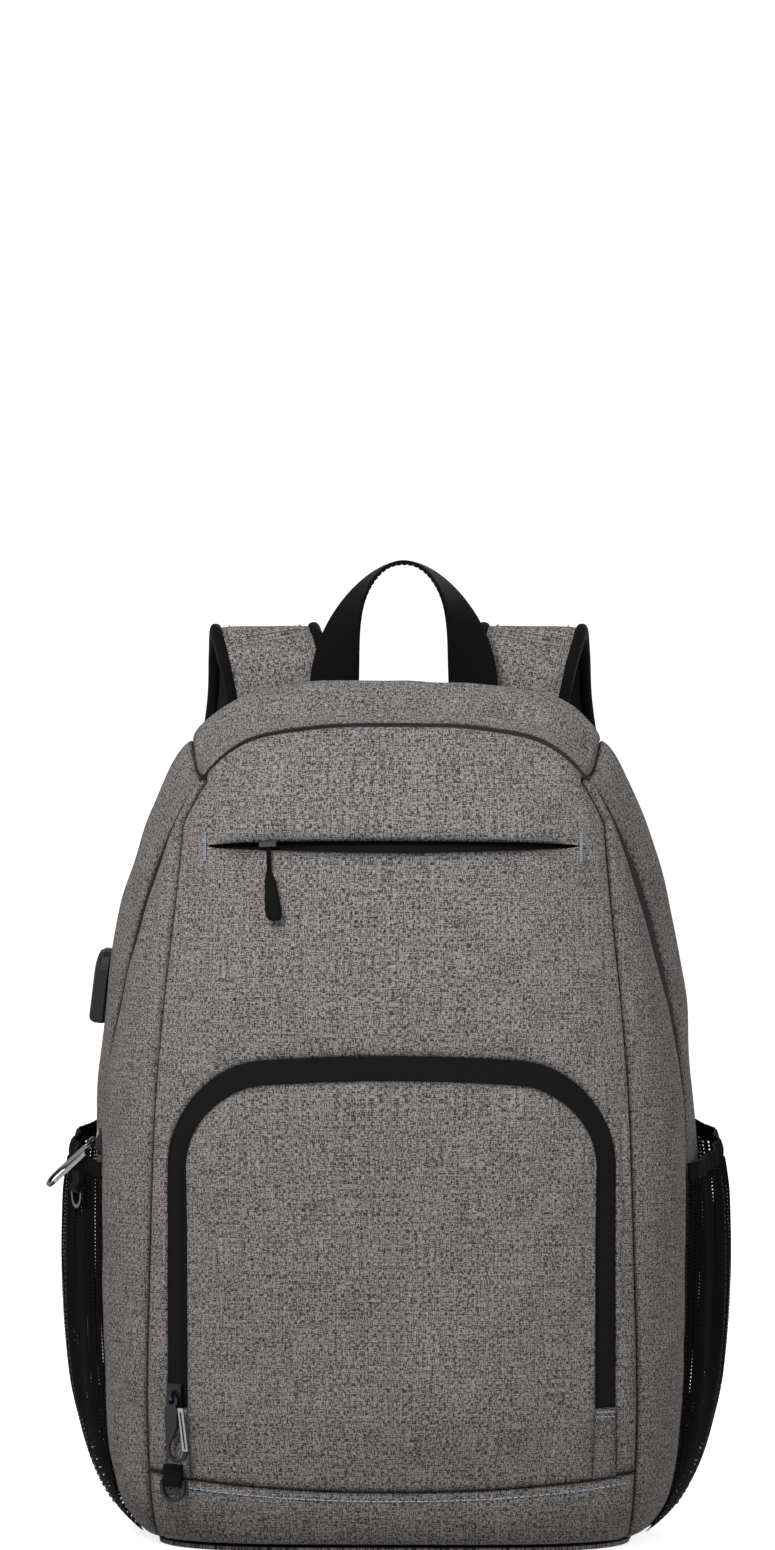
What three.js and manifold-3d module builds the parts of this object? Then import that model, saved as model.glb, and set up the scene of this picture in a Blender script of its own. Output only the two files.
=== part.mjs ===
// Anti theft backpack standing on its base, in millimetres, +Z up, front facing -Y.
// The body is a hollow shell of sewn cloth panels. Depths are measured forward from the back plane.
import * as THREE from 'three';
import { mergeVertices } from 'three/addons/utils/BufferGeometryUtils.js';
import Module from 'manifold-3d';

const wasm = await Module();
wasm.setup();

// Body
const bagHeight = 460; // floor to the crest of the top gusset
const halfWidth = 160; // widest half width of the gussets
const backSeam = 4; // depth of the seam round the back panel
const gussetDepth = 72; // from the back seam to the main zip
const zipTape = 18; // main zip, edge to edge
const frontBulge = 88; // how far the front swells forward of the main zip
const squareness = 4.2; // power of the front's cross section, 2 would be an ellipse
const shoulderPinch = 0.06; // how much narrower the shoulders are at the zip, as a share
const pinchLow = 0.5; // share of the height where they start to narrow
const pinchHigh = 0.76;
const cloth = 1.8; // lined polyester wall
const tapeWall = 1.3; // zip tape
const baseWall = 2.2; // base board cloth
const seamGap = 0.3; // clearance between neighbouring panels
const upperPuff = 2; // swell of the upper panel between its seams
const sidePuff = 1.5; // swell of the gussets between their seams
const zipEndHeight = 206; // lower end of the main zip on each side
const shoulderSeam = 412; // height where the top gusset is sewn to the side gussets
const seamTop = 409; // height where the side seams run into the main zip
const seamLand = 3; // least width of a front side panel
const baseSeam = 33.5; // seam over the lower front band, at the middle
const baseSeamRise = 9; // how much higher that seam is at the sides
const baseSeamHalf = 130; // half width over which it rises

// Front pocket and its arched zip
const archHalf = 113; // centre line of the upright runs of the zip
const archRadius = 45; // corner radius of the centre line
const archSpring = 206; // height where the corners start
const archCrown = 7; // rise of the arch at the middle
const archTape = 13.5; // width of the zip
const archFoot = 79; // lower end of the zip
const archLift = 8; // how far the pocket stands proud at the arch
const sideLift = 3; // and along the upright runs
const pocketPuff = 3; // swell of the pocket panel
const uprightCount = 6; // rows of faces beside the upright runs of the zip
const cornerCount = 5; // and beside its corners

// Slit pocket
const slitHeight = 0.813 * bagHeight;
const slitHalf = 98;
const slitOpen = 5.4;
const slitTapeWidth = 14;
const slitTapeDrop = 4.2; // the tape lies this far behind the front surface

// Mesh side pockets
const meshWall = 1.2;
const meshBulge = 17;
const meshClear = 0.7; // least clearance to the gusset
const meshTopFront = zipEndHeight - 3; // the pocket's top at the front, just under the end of the zip
const meshTopRear = meshTopFront + 21;
const meshFoot = 6;
const pleatDepth = 1.3;
const pleatCount = 4.5;
const bandHeight = 9;
const bandWall = 1.8;

// Back panel
const panelEdge = 5;
const panelPad = 4;

// Webbing handle
const handleRise = 70; // crest over its feet
const handleHalf = 38;
const handleShift = 3.4;
const handleWidth = 27;
const webbingWall = 2.4;
const handleFootDepth = 7;

// Shoulder straps
const strapWidth = 60;
const strapPad = 8;
const bindingWidth = 7;
const bindingWall = 0.9;
const strapWebbing = 22;
const webbingThin = 1.6;
const webbingSlack = 0.4; // room for the webbing round a bar
const strapReach = 46; // how far behind the back panel the strap swings out
const lockWidth = 31;
const lockThick = 4;
const lockBar = 3.4;
const lockSlot = 6.4;
const tailFoot = 62; // lower end of the webbing's loose tail
const wingTop = 118; // wing tab, sewn into the back seam between these heights
const wingFoot = 56;
const wingReach = 20;
const wingEndLow = 4; // the tab's outer end, over its foot
const wingEndHigh = 26;

// Charge port
const portHeight = 41;
const portWidth = 24;
const portProud = 7.8;
const portFoot = 275; // height of its lower edge
const portDepth = 27; // depth of its middle
const socketWidth = 13.1;
const socketGap = 5.8;
const socketReach = 11;
const portSink = 0.35; // how far the port is let into the gusset's swell

// Zip pulls
const sliderWidth = 8.5;
const sliderLength = 12;
const sliderThick = 2.6;
const bailWidth = 2;
const bailInner = 1.45;
const bailOuter = 2.75;
const bailStand = 1.5; // bail centre over the slider's face
const pullThick = 1.6;
const pullLength = 38.5;
const eyeHole = 1.9;
const eyeRim = 3.6;
const plateHalf = 4.4;
const hookRadius = 6.2;
const hookInset = 0.4; // how far the hook's outer side stands in from the plate's
const plateStep = 1.2; // the plate's gate side is this much narrower than its other side
const plateTaper = 0.6;
const hookWire = 1.9;
const gateWire = 1.1;
const gateSlot = 1;
const gateTravel = 0.3; // clearance round the gate
const mainPullLean = 46; // degrees that the side pull rests away from its zip
const mainSliderTurn = 22; // degrees that its slider is turned on the tape
const mainSliderLift = 0.5; // and how far it stands off it
const slitSliderAcross = -66;
const slitSliderLength = 9;
const slitSliderHeight = 2.8;
const cordRadius = 0.9;
const cordLength = 15;
const gripLength = 27;
const gripHalf = 4.4;
const gripThick = 4.6;
const gripShift = 1.5; // how far the grip's head hangs to the right of its slider

// D-rings
const ringHalf = 7.8;
const ringDrop = 11;
const ringWire = 1.9;
const tabWidth = 11;
const tabWall = 1.2;
const tabLength = 7;
const sideRingShare = 0.88; // its place on the mesh pocket, from the rear edge to the front
const sideRingDrop = 14; // below the pocket's front top

const zipRear = backSeam + gussetDepth;
const zipFront = zipRear + zipTape;

// Half outline of the bag from the base corner to the top, as shares of half width and height.
const outlineRows = [
  { across: 0.78, up: 0 },
  { across: 0.88, up: 0.02 },
  { across: 0.944, up: 0.057 },
  { across: 0.975, up: 0.11 },
  { across: 0.99, up: 0.2 },
  { across: 1, up: 0.35 },
  { across: 1, up: 0.511 },
  { across: 0.981, up: 0.635 },
  { across: 0.931, up: 0.739 },
  { across: 0.869, up: 0.811 },
  { across: 0.794, up: 0.88 },
  { across: 0.7, up: 0.935 },
  { across: 0.5625, up: 0.976 },
  { across: 0.3125, up: 0.996 },
  { across: 0, up: 1 },
];

// The outline's size at each share of the depth from the back seam to the zip's front edge.
const stationRows = [
  { depth: 0, height: 0.989, width: 0.965 },
  { depth: 0.36, height: 1, width: 1 },
  { depth: 0.8, height: 0.959, width: 0.985 },
  { depth: 1, height: 0.954, width: 0.975 },
];

// How far the middle of the front swells, as a share of frontBulge, against its height.
const frontRows = [
  { up: 0, bulge: 0.636 },
  { up: 0.023, bulge: 0.818 },
  { up: 0.057, bulge: 0.909 },
  { up: 0.087, bulge: 0.943 },
  { up: 0.228, bulge: 1 },
  { up: 0.342, bulge: 1 },
  { up: 0.547, bulge: 0.909 },
  { up: 0.683, bulge: 0.773 },
  { up: 0.852, bulge: 0.5 },
  { up: 0.934, bulge: 0.295 },
  { up: 0.979, bulge: 0.136 },
  { up: 1, bulge: 0 },
];

// Side seams of the front, as shares of the half width there, against the height.
const seamRows = [
  { up: 0, across: 0.744 },
  { up: 0.016, across: 0.814 },
  { up: 0.087, across: 0.833 },
  { up: 0.175, across: 0.84 },
  { up: 0.36, across: 0.827 },
  { up: 0.542, across: 0.808 },
  { up: 0.66, across: 0.782 },
  { up: 0.852, across: 0.731 },
  { up: 0.932, across: 0.718 },
];

// Bulge of a mesh pocket, as a share of meshBulge, from its foot to its top.
const meshRows = [
  { up: 0, bulge: 0 },
  { up: 0.08, bulge: 0.2 },
  { up: 0.2, bulge: 0.55 },
  { up: 0.4, bulge: 0.92 },
  { up: 0.65, bulge: 1 },
  { up: 0.85, bulge: 0.92 },
  { up: 1, bulge: 0.66 },
];

// Share of the seam heights under the base seam where the panels there are cut.
const lowSeamShares = [0, 0.08, 0.17, 0.45, 1];

// Helpers

const lerp = THREE.MathUtils.lerp;
const smooth = (at, low, high) => THREE.MathUtils.smoothstep(at, low, high);

function steps(from, to, count) {
  return Array.from({ length: count + 1 }, (_, k) => lerp(from, to, k / count));
}

// Value of one column of a table at a place in another, by a cubic that never overshoots a row.
function lookup(rows, from, to, at) {
  const last = rows.length - 1;
  const found = rows.findIndex((row, k) => k > 0 && at <= row[from]);
  const i = (found < 0 ? last : found) - 1;
  const rise = (k) => (rows[k + 1][to] - rows[k][to]) / (rows[k + 1][from] - rows[k][from]);
  const slope = (k) => {
    if (k === 0) return rise(0);
    if (k === last) return rise(last - 1);
    const product = rise(k - 1) * rise(k);
    return product > 0 ? (2 * product) / (rise(k - 1) + rise(k)) : 0;
  };
  const span = rows[i + 1][from] - rows[i][from];
  const q = THREE.MathUtils.clamp((at - rows[i][from]) / span, 0, 1);
  return (
    rows[i][to] * (1 + 2 * q) * (1 - q) ** 2 +
    slope(i) * span * q * (1 - q) ** 2 +
    rows[i + 1][to] * q * q * (3 - 2 * q) -
    slope(i + 1) * span * q * q * (1 - q)
  );
}

const right = outlineRows.map(({ across, up }) => new THREE.Vector3(across, 0, up));
const left = right.slice(0, -1).reverse().map((p) => new THREE.Vector3(-p.x, 0, p.z));
const outline = new THREE.CatmullRomCurve3([...right, ...left], false, 'centripetal');

function station(depth) {
  const share = (depth - backSeam) / (zipFront - backSeam);
  return {
    height: bagHeight * lookup(stationRows, 'depth', 'height', share),
    width: halfWidth * lookup(stationRows, 'depth', 'width', share),
  };
}

const frontTop = station(zipFront).height;
const frontWide = station(zipFront).width;

// Loop place on the right side, 0 at the base corner and 1 at the top, that has a given height.
function loopAtHeight(z, depth) {
  const share = z / station(depth).height;
  let [low, high] = [0, 1];
  for (let k = 0; k < 30; k += 1) {
    const middle = (low + high) / 2;
    if (outline.getPoint(middle / 2).z < share) low = middle;
    else high = middle;
  }
  return (low + high) / 2;
}

// Share of the width left where the shoulders narrow towards the zip.
function pinch(up, depth) {
  const share = (depth - backSeam) / (zipFront - backSeam);
  return 1 - shoulderPinch * smooth(up, pinchLow, pinchHigh) * THREE.MathUtils.clamp(share, 0, 1) ** 2;
}

function frontHalfWidth(z) {
  const share = outline.getPoint(loopAtHeight(z, zipFront) / 2);
  return frontWide * share.x * pinch(share.z, zipFront);
}

// Depth of the front surface: the middle profile, falling off as a superellipse to the zip.
function frontDepth(x, z) {
  const crown = frontBulge * lookup(frontRows, 'up', 'bulge', z / frontTop);
  const share = Math.min(Math.abs(x) / Math.max(frontHalfWidth(z), 1), 1);
  return zipFront + crown * Math.sqrt(1 - share ** squareness);
}

const originDepth = (backSeam + frontDepth(0, 0)) / 2;
const place = (x, depth, z) => new THREE.Vector3(x, originDepth - depth, z);

// Point of the gussets at a loop place and a depth; places over 1 run down the left side.
function loopPoint(at, depth) {
  const share = outline.getPoint(at / 2);
  const { height, width } = station(depth);
  return place(width * share.x * pinch(share.z, depth), depth, height * share.z);
}

const seamAcross = (z) =>
  Math.min(frontWide * lookup(seamRows, 'up', 'across', z / frontTop), frontHalfWidth(z) - seamLand);
const baseSeamHeight = (x) => baseSeam + baseSeamRise * (x / baseSeamHalf) ** 2;

// Outward direction at a point of the shell: away from a box-shaped core inside the bag.
function outward(point) {
  const depth = originDepth - point.y;
  const x = THREE.MathUtils.clamp(point.x, -0.55 * halfWidth, 0.55 * halfWidth);
  const d = THREE.MathUtils.clamp(depth, 0.48 * zipFront, zipFront + 0.07 * frontBulge);
  const z = THREE.MathUtils.clamp(point.z, 0.135 * bagHeight, 0.86 * bagHeight);
  return point.clone().sub(place(x, d, z)).normalize();
}

const push = (point, distance) => point.clone().addScaledVector(outward(point), distance);

// Closed body from a triangle list, with its faces turned outwards.
function solid(positions, triangles) {
  const geometry = new THREE.BufferGeometry();
  const numbers = positions.flatMap((p) => p.toArray());
  geometry.setAttribute('position', new THREE.Float32BufferAttribute(numbers, 3));
  let volume = 0;
  triangles.forEach(([a, b, c]) => {
    volume += positions[a].dot(positions[b].clone().cross(positions[c]));
  });
  geometry.setIndex(triangles.flatMap(([a, b, c]) => (volume > 0 ? [a, b, c] : [a, c, b])));
  return geometry;
}

// Cloth sheet: outer(u, v) and inner(u, v) on the same grid, closed round its rim.
function sheet(us, vs, outer, inner) {
  const rows = vs.length;
  const count = us.length * rows;
  const positions = [outer, inner].flatMap((skin) => us.flatMap((u) => vs.map((v) => skin(u, v))));
  const at = (i, j, skin) => skin * count + i * rows + j;
  const triangles = [];
  const quad = (a, b, c, d) => triangles.push([a, b, c], [a, c, d]);
  for (let i = 0; i + 1 < us.length; i += 1) {
    for (let j = 0; j + 1 < rows; j += 1) {
      quad(at(i, j, 0), at(i + 1, j, 0), at(i + 1, j + 1, 0), at(i, j + 1, 0));
      quad(at(i, j, 1), at(i, j + 1, 1), at(i + 1, j + 1, 1), at(i + 1, j, 1));
    }
    quad(at(i, 0, 0), at(i, 0, 1), at(i + 1, 0, 1), at(i + 1, 0, 0));
    quad(at(i, rows - 1, 0), at(i + 1, rows - 1, 0), at(i + 1, rows - 1, 1), at(i, rows - 1, 1));
  }
  const last = us.length - 1;
  for (let j = 0; j + 1 < rows; j += 1) {
    quad(at(0, j, 0), at(0, j + 1, 0), at(0, j + 1, 1), at(0, j, 1));
    quad(at(last, j, 0), at(last, j, 1), at(last, j + 1, 1), at(last, j + 1, 0));
  }
  return solid(positions, triangles);
}

// Sheet whose outer skin is a surface and whose wall goes inwards.
function panel(us, vs, surface, wall) {
  return sheet(us, vs, surface, (u, v) => push(surface(u, v), -wall));
}

// Triangles over a flat ring, in the ring's own order.
function cap(ring) {
  const turn = new THREE.Vector3();
  ring.forEach((p, k) => turn.add(p.clone().cross(ring[(k + 1) % ring.length])));
  const first = ring[1].clone().sub(ring[0]).normalize();
  const second = turn.normalize().cross(first);
  const flat = ring.map((p) => new THREE.Vector2(p.dot(first), p.dot(second)));
  const isTurned = ([a, b, c]) => flat[b].clone().sub(flat[a]).cross(flat[c].clone().sub(flat[a])) < 0;
  return THREE.ShapeUtils.triangulateShape(flat, []).map((t) => (isTurned(t) ? [t[0], t[2], t[1]] : t));
}

// Body lofted through closed rings of equally many points, with flat ends.
function loft(rings) {
  const sides = rings[0].length;
  const end = (rings.length - 1) * sides;
  const triangles = cap(rings[0]).map(([a, b, c]) => [a, c, b]);
  triangles.push(...cap(rings[rings.length - 1]).map((t) => t.map((index) => end + index)));
  for (let k = 0; k < sides; k += 1) {
    const next = (k + 1) % sides;
    for (let i = 0; i + 1 < rings.length; i += 1) {
      const [a, b] = [i * sides, (i + 1) * sides];
      triangles.push([a + k, a + next, b + next], [a + k, b + next, b + k]);
    }
  }
  return solid(rings.flat(), triangles);
}

// Band along a smooth route. Each stop gives its place, width, thickness and width direction.
// A crowd under 1 sets the frames closer together near the first stop.
function bandFrames(stops, count, crowd = 1) {
  const route = new THREE.CatmullRomCurve3(stops.map((stop) => stop.at), false, 'centripetal');
  return steps(0, 1, count).map((q) => {
    const t = q * (crowd + (1 - crowd) * q);
    const spot = t * (stops.length - 1);
    const i = Math.min(Math.floor(spot), stops.length - 2);
    const mix = (key) => lerp(stops[i][key], stops[i + 1][key], spot - i);
    const along = route.getTangent(t);
    const across = stops[i].across.clone().lerp(stops[i + 1].across, spot - i);
    across.addScaledVector(along, -across.dot(along)).normalize();
    return {
      at: route.getPoint(t),
      across,
      face: along.clone().cross(across).normalize(),
      width: mix('width'),
      thick: mix('thick'),
    };
  });
}

// Ring of a band: a section in shares of its half width and half thickness.
const thinSection = [
  { across: 1, face: 1 },
  { across: -1, face: 1 },
  { across: -1, face: -1 },
  { across: 1, face: -1 },
];

function sectionRing(frame, section) {
  return section.map(({ across, face }) =>
    frame.at
      .clone()
      .addScaledVector(frame.across, (across * frame.width) / 2)
      .addScaledVector(frame.face, (face * frame.thick) / 2),
  );
}

const band = (stops, count) =>
  loft(bandFrames(stops, count).map((frame) => sectionRing(frame, thinSection)));

// Flat plate from an outline in its own x and y, centred on its thickness.
function plate(shape, thickness, curveSegments = 6) {
  const options = { depth: thickness, bevelEnabled: false, curveSegments };
  const geometry = new THREE.ExtrudeGeometry(shape, options);
  return geometry.translate(0, 0, -thickness / 2);
}

function polygon(points) {
  return new THREE.Shape(points.map(([x, y]) => new THREE.Vector2(x, y)));
}

// Booleans
function toManifold(geometry) {
  const bare = geometry.clone();
  bare.deleteAttribute('normal');
  bare.deleteAttribute('uv');
  const merged = mergeVertices(bare, 1e-3);
  return new wasm.Manifold(
    new wasm.Mesh({
      numProp: 3,
      vertProperties: new Float32Array(merged.attributes.position.array),
      triVerts: new Uint32Array(merged.index.array),
    }),
  );
}

function fromManifold(body) {
  const mesh = body.getMesh();
  const geometry = new THREE.BufferGeometry();
  geometry.setAttribute('position', new THREE.BufferAttribute(new Float32Array(mesh.vertProperties), 3));
  geometry.setIndex([...mesh.triVerts]);
  return geometry;
}

const cut = (body, ...tools) =>
  fromManifold(tools.reduce((rest, tool) => rest.subtract(toManifold(tool)), toManifold(body)));
const join = (body, ...more) =>
  fromManifold(more.reduce((sum, piece) => sum.add(toManifold(piece)), toManifold(body)));

// Materials
const finishes = {
  melange: { color: 0x766f6b, roughness: 0.92, metalness: 0 },
  blackCloth: { color: 0x141416, roughness: 0.9, metalness: 0 },
  meshCloth: { color: 0x121315, roughness: 0.85, metalness: 0 },
  zip: { color: 0x1c1d1f, roughness: 0.7, metalness: 0 },
  webbing: { color: 0x121212, roughness: 0.8, metalness: 0 },
  blackMetal: { color: 0x22242a, roughness: 0.4, metalness: 0.7 },
  rubber: { color: 0x1b1c1e, roughness: 0.6, metalness: 0 },
  plastic: { color: 0x17181a, roughness: 0.5, metalness: 0 },
};

const backpack = new THREE.Group();

function add(name, geometry, finish, parent = backpack) {
  const mesh = new THREE.Mesh(geometry, new THREE.MeshStandardMaterial(finishes[finish]));
  mesh.name = name;
  parent.add(mesh);
  return mesh;
}

const wallFoot = baseWall + seamGap;

// Base: a flat board whose rim carries the walls.
// Base: it runs under the back panel as far as that panel's outer face.
function basePlate() {
  const heel = loopPoint(loopAtHeight(baseWall, backSeam), backSeam);
  const rim = [heel.setY(originDepth - backSeam + seamGap + panelEdge)];
  steps(backSeam, zipFront, 6).forEach((depth) => {
    rim.push(loopPoint(loopAtHeight(baseWall, depth), depth));
  });
  const corner = frontHalfWidth(baseWall);
  steps(0, 1, 16).slice(1, -1).forEach((share) => {
    const x = corner * Math.cos(share * Math.PI);
    rim.push(place(x, frontDepth(x, baseWall), 0));
  });
  const half = rim.slice(0, 8).map((p) => [-p.x, p.y]).reverse();
  const shape = polygon([...rim.map((p) => [p.x, p.y]), ...half]);
  return plate(shape, baseWall).translate(0, 0, baseWall / 2);
}

// Back panel: flat inside, padded outside, thinner at its seam.
const backRim = () => {
  const foot = loopAtHeight(wallFoot, backSeam);
  const side = steps(foot, 2 - foot, 28).map((at) => loopPoint(at, backSeam));
  const across = side[side.length - 1].clone();
  const bottom = steps(0, 1, 4).slice(1, -1).map((q) => across.clone().lerp(side[0], q));
  return [...side, ...bottom];
};

const panelThickness = (share) => panelEdge + panelPad * (1 - share ** 4);

function backPanel() {
  const rim = backRim();
  const middle = place(0, backSeam, bagHeight / 2);
  const shares = [0.5, 0.85, 1];
  const near = backSeam - seamGap;
  const skin = (rimPoint, share, isRear) => {
    const point = middle.clone().lerp(rimPoint, share);
    point.y = originDepth - near + (isRear ? panelThickness(share) : 0);
    return point;
  };
  const rings = [...shares.map((s) => rim.map((p) => skin(p, s, false)))];
  rings.push(...[...shares].reverse().map((s) => rim.map((p) => skin(p, s, true))));
  return loft(rings);
}

// Rear face depth of the back panel at a share of the way from its middle to its rim.
const backFace = (share) => backSeam - seamGap - panelThickness(share);

const gussetShares = [0, 0.22, 0.5, 1];
const shoulderAt = loopAtHeight(shoulderSeam, zipRear);
const sideAtSeam = 0.004;

const gussetPuff = (share) => sidePuff * Math.sin(Math.PI * share);

function sideGusset(side) {
  const zipEndAt = loopAtHeight(zipEndHeight, zipRear);
  const foot = loopAtHeight(wallFoot, backSeam);
  const ats = [
    ...steps(foot, zipEndAt - sideAtSeam, 11),
    ...steps(zipEndAt + sideAtSeam, shoulderAt - sideAtSeam / 4, 8),
  ];
  const surface = (at, share) => {
    const edge = at < zipEndAt ? zipFront : zipRear;
    const depth = lerp(backSeam, edge - seamGap / 2, share);
    const point = push(loopPoint(at, depth), gussetPuff(share));
    point.x *= side;
    return point;
  };
  return panel(ats, gussetShares, surface, cloth);
}

function topGusset() {
  const ats = steps(shoulderAt + sideAtSeam / 4, 2 - shoulderAt - sideAtSeam / 4, 16);
  const surface = (at, share) =>
    push(loopPoint(at, lerp(backSeam, zipRear - seamGap / 2, share)), gussetPuff(share));
  return panel(ats, gussetShares, surface, cloth);
}

function mainZip() {
  const end = loopAtHeight(zipEndHeight, zipRear) + 2 * sideAtSeam;
  const surface = (at, share) => loopPoint(at, lerp(zipRear + seamGap / 2, zipFront - seamGap / 2, share));
  return panel(steps(end, 2 - end, 40), [0, 1], surface, tapeWall);
}

// Front panels
const frontPoint = (x, z, lift = 0) => push(place(x, frontDepth(x, z), z), lift);

const edgeSeamHeight = baseSeamHeight(seamAcross(baseSeam + baseSeamRise));
const lowSeamHeights = lowSeamShares.map((share) => lerp(wallFoot, edgeSeamHeight, share));


function frontSide(side) {
  const turnHeight = archSpring + archRadius;
  const lower = steps(edgeSeamHeight, turnHeight, uprightCount).slice(1);
  const heights = [...lowSeamHeights, ...lower, ...steps(turnHeight, seamTop, cornerCount).slice(1)];
  const surface = (share, z) => {
    const [from, to] = [seamAcross(z) + seamGap / 2, frontHalfWidth(z)];
    const swell = Math.sin(Math.PI * share) * sidePuff * smooth(z, 0, bagHeight / 8);
    return frontPoint(side * lerp(from, to, Math.sin((share * Math.PI) / 2)), z, swell);
  };
  return panel([0, 0.35, 0.7, 1], heights, surface, cloth);
}

function lowerFront() {
  const shares = steps(-1, 1, 14).map((u) => Math.sin((u * Math.PI) / 2));
  const surface = (u, q) => {
    const top = baseSeamHeight(u * seamAcross(edgeSeamHeight)) - seamGap / 2;
    const z = lerp(wallFoot, top, q);
    return frontPoint(u * (seamAcross(z) - seamGap / 2), z);
  };
  return panel(shares, lowSeamShares, surface, cloth);
}

// Arched zip route in the front's x and z: part 0 to 1 upright, to 2 round the corner, to 3 across.
function archPoint(part, offset, foot) {
  const radius = archRadius + offset;
  const centre = archHalf - archRadius;
  const turn = (THREE.MathUtils.clamp(part - 1, 0, 1) * Math.PI) / 2;
  const x = part > 2 ? centre * (3 - part) : centre + radius * Math.cos(turn);
  const z = part < 1 ? lerp(foot, archSpring, part) : archSpring + radius * Math.sin(turn);
  const rise = archCrown * Math.max(1 - (x / archHalf) ** 2, 0);
  return { x, z: z + rise * smooth(z, archSpring - archRadius, archSpring + archRadius) };
}

const archCorner = steps(1, 2, cornerCount);
const archTopParts = steps(2, 3, 3).slice(1);
const uprightParts = (count) => steps(0, 1, count).slice(0, -1);

// The parts of the whole arch, right foot to left foot, with the side that each belongs to.
function wholeArch(half) {
  const list = half.map((part) => ({ part, side: 1 }));
  return [...list, ...list.slice(0, -1).reverse().map(({ part }) => ({ part, side: -1 }))];
}

function pocketLift(z) {
  const full = lerp(sideLift, archLift, smooth(z, archSpring - archRadius, archSpring + archRadius));
  return full * smooth(z, baseSeam, baseSeam + archRadius);
}

function archStrip(parts, footOf) {
  const surface = ({ part, side }, share) => {
    const offset = lerp(seamGap / 2 - archTape / 2, archTape / 2 - seamGap / 2, share);
    const { x, z } = archPoint(part, offset, footOf(offset));
    return frontPoint(side * x, z, pocketLift(z) * (1 - share));
  };
  return panel(parts, [0, 1], surface, tapeWall);
}

const pocketZip = () =>
  archStrip(wholeArch([...uprightParts(4), ...archCorner, ...archTopParts]), () => archFoot);

function zipEnd(side) {
  const surface = (q, share) => {
    const x = archHalf + lerp(seamGap / 2 - archTape / 2, archTape / 2 - seamGap / 2, share);
    const z = lerp(baseSeamHeight(x) + seamGap / 2, archFoot - seamGap, q);
    return frontPoint(side * x, z, pocketLift(z) * (1 - share));
  };
  return panel(steps(0, 1, 2), [0, 1], surface, cloth);
}

function pocketPanel() {
  const columns = wholeArch([...archCorner, ...archTopParts]);
  const offset = -archTape / 2 - seamGap / 2;
  const surface = ({ part, side }, share) => {
    const top = archPoint(part, offset, archFoot);
    const z = lerp(baseSeamHeight(top.x) + seamGap / 2, top.z, share);
    const swell = pocketPuff * Math.sin(Math.PI * share) * Math.cos((0.45 * Math.PI * top.x) / archHalf);
    return frontPoint(side * top.x, z, pocketLift(z) + swell);
  };
  return panel(columns, steps(0, 1, 7), surface, cloth);
}

// Outer edge of the upper panel beside each part of the arch: the side seam, then the main zip.
function upperEdge(part) {
  const foot = edgeSeamHeight + seamGap;
  const turnHeight = archSpring + archRadius;
  if (part <= 2) {
    const z = part < 1 ? lerp(foot, turnHeight, part) : lerp(turnHeight, seamTop, part - 1);
    return { x: seamAcross(z) - seamGap / 2, z };
  }
  const at = lerp(loopAtHeight(seamTop, zipFront), 1, part - 2);
  const point = loopPoint(at, zipFront);
  return { x: point.x, z: point.z };
}

function slitCutter(grow) {
  const rim = steps(0, 1, 12).map((q) => {
    const x = lerp(-slitHalf, slitHalf, q);
    return [x, (slitOpen / 2) * Math.sin(Math.PI * q) ** 0.6 + grow];
  });
  const shape = polygon([...rim, ...rim.slice().reverse().map(([x, z]) => [x, -z])]);
  const reach = frontBulge + zipTape;
  const tool = plate(shape, reach).rotateX(Math.PI / 2);
  return tool.translate(0, originDepth - zipFront - reach / 2, slitHeight);
}

function upperPanel() {
  const across = steps(2, 3, 4).slice(1);
  const parts = wholeArch([...uprightParts(uprightCount), ...archCorner, ...across]);
  const surface = ({ part, side }, share) => {
    const offset = archTape / 2 + seamGap / 2;
    const inner = archPoint(part, offset, baseSeamHeight(archHalf + offset) + seamGap);
    const outer = upperEdge(part);
    const [x, z] = [lerp(inner.x, outer.x, share), lerp(inner.z, outer.z, share)];
    const swell = upperPuff * Math.sin(Math.PI * share) * smooth(z, archSpring, archSpring + archRadius);
    return frontPoint(side * x, z, swell);
  };
  return cut(panel(parts, [0, 0.25, 0.5, 0.75, 1], surface, cloth), slitCutter(0.4));
}

function slitZip() {
  const surface = (u, share) => {
    const z = slitHeight + lerp(-slitTapeWidth / 2, slitTapeWidth / 2, share);
    return frontPoint(u * (slitHalf + slitTapeWidth / 4), z, -slitTapeDrop);
  };
  return panel(steps(-1, 1, 12), [0, 1], surface, tapeWall);
}

// Mesh side pocket: loop places and depths, pushed out by the bulge and its pleats.
const meshTop = (share) => lerp(meshTopRear, meshTopFront, share);

function meshPoint(side, share, z, extra) {
  const depth = lerp(backSeam + seamGap, zipFront - seamGap, share);
  const up = THREE.MathUtils.clamp((z - meshFoot) / (meshTop(share) - meshFoot), 0, 1);
  const cross = Math.max(1 - Math.abs(2 * share - 1) ** 2.6, 0) ** 0.8;
  const folds = pleatDepth * Math.sin(2 * Math.PI * pleatCount * share) * smooth(up, 0.1, 0.6) * cross;
  const bulge = meshBulge * lookup(meshRows, 'up', 'bulge', up) * cross + folds;
  const clear = meshClear + gussetPuff(share);
  const point = push(loopPoint(loopAtHeight(z, depth), depth), clear + Math.max(bulge, 0) + extra);
  point.x *= side;
  return point;
}

const pocketShares = steps(0, 1, 18);

function meshPocket(side) {
  const heightAt = (share, q) => lerp(meshFoot, meshTop(share) - bandHeight - seamGap, q);
  const rows = steps(0, 1, 8).map((q) => q ** 1.6);
  return sheet(
    pocketShares,
    rows,
    (share, q) => meshPoint(side, share, heightAt(share, q), meshWall),
    (share, q) => meshPoint(side, share, heightAt(share, q), 0),
  );
}

function pocketBand(side) {
  const heightAt = (share, q) => meshTop(share) - bandHeight * (1 - q);
  return sheet(
    pocketShares,
    [0, 1],
    (share, q) => meshPoint(side, share, heightAt(share, q), bandWall),
    (share, q) => meshPoint(side, share, heightAt(share, q), 0),
  );
}

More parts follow.
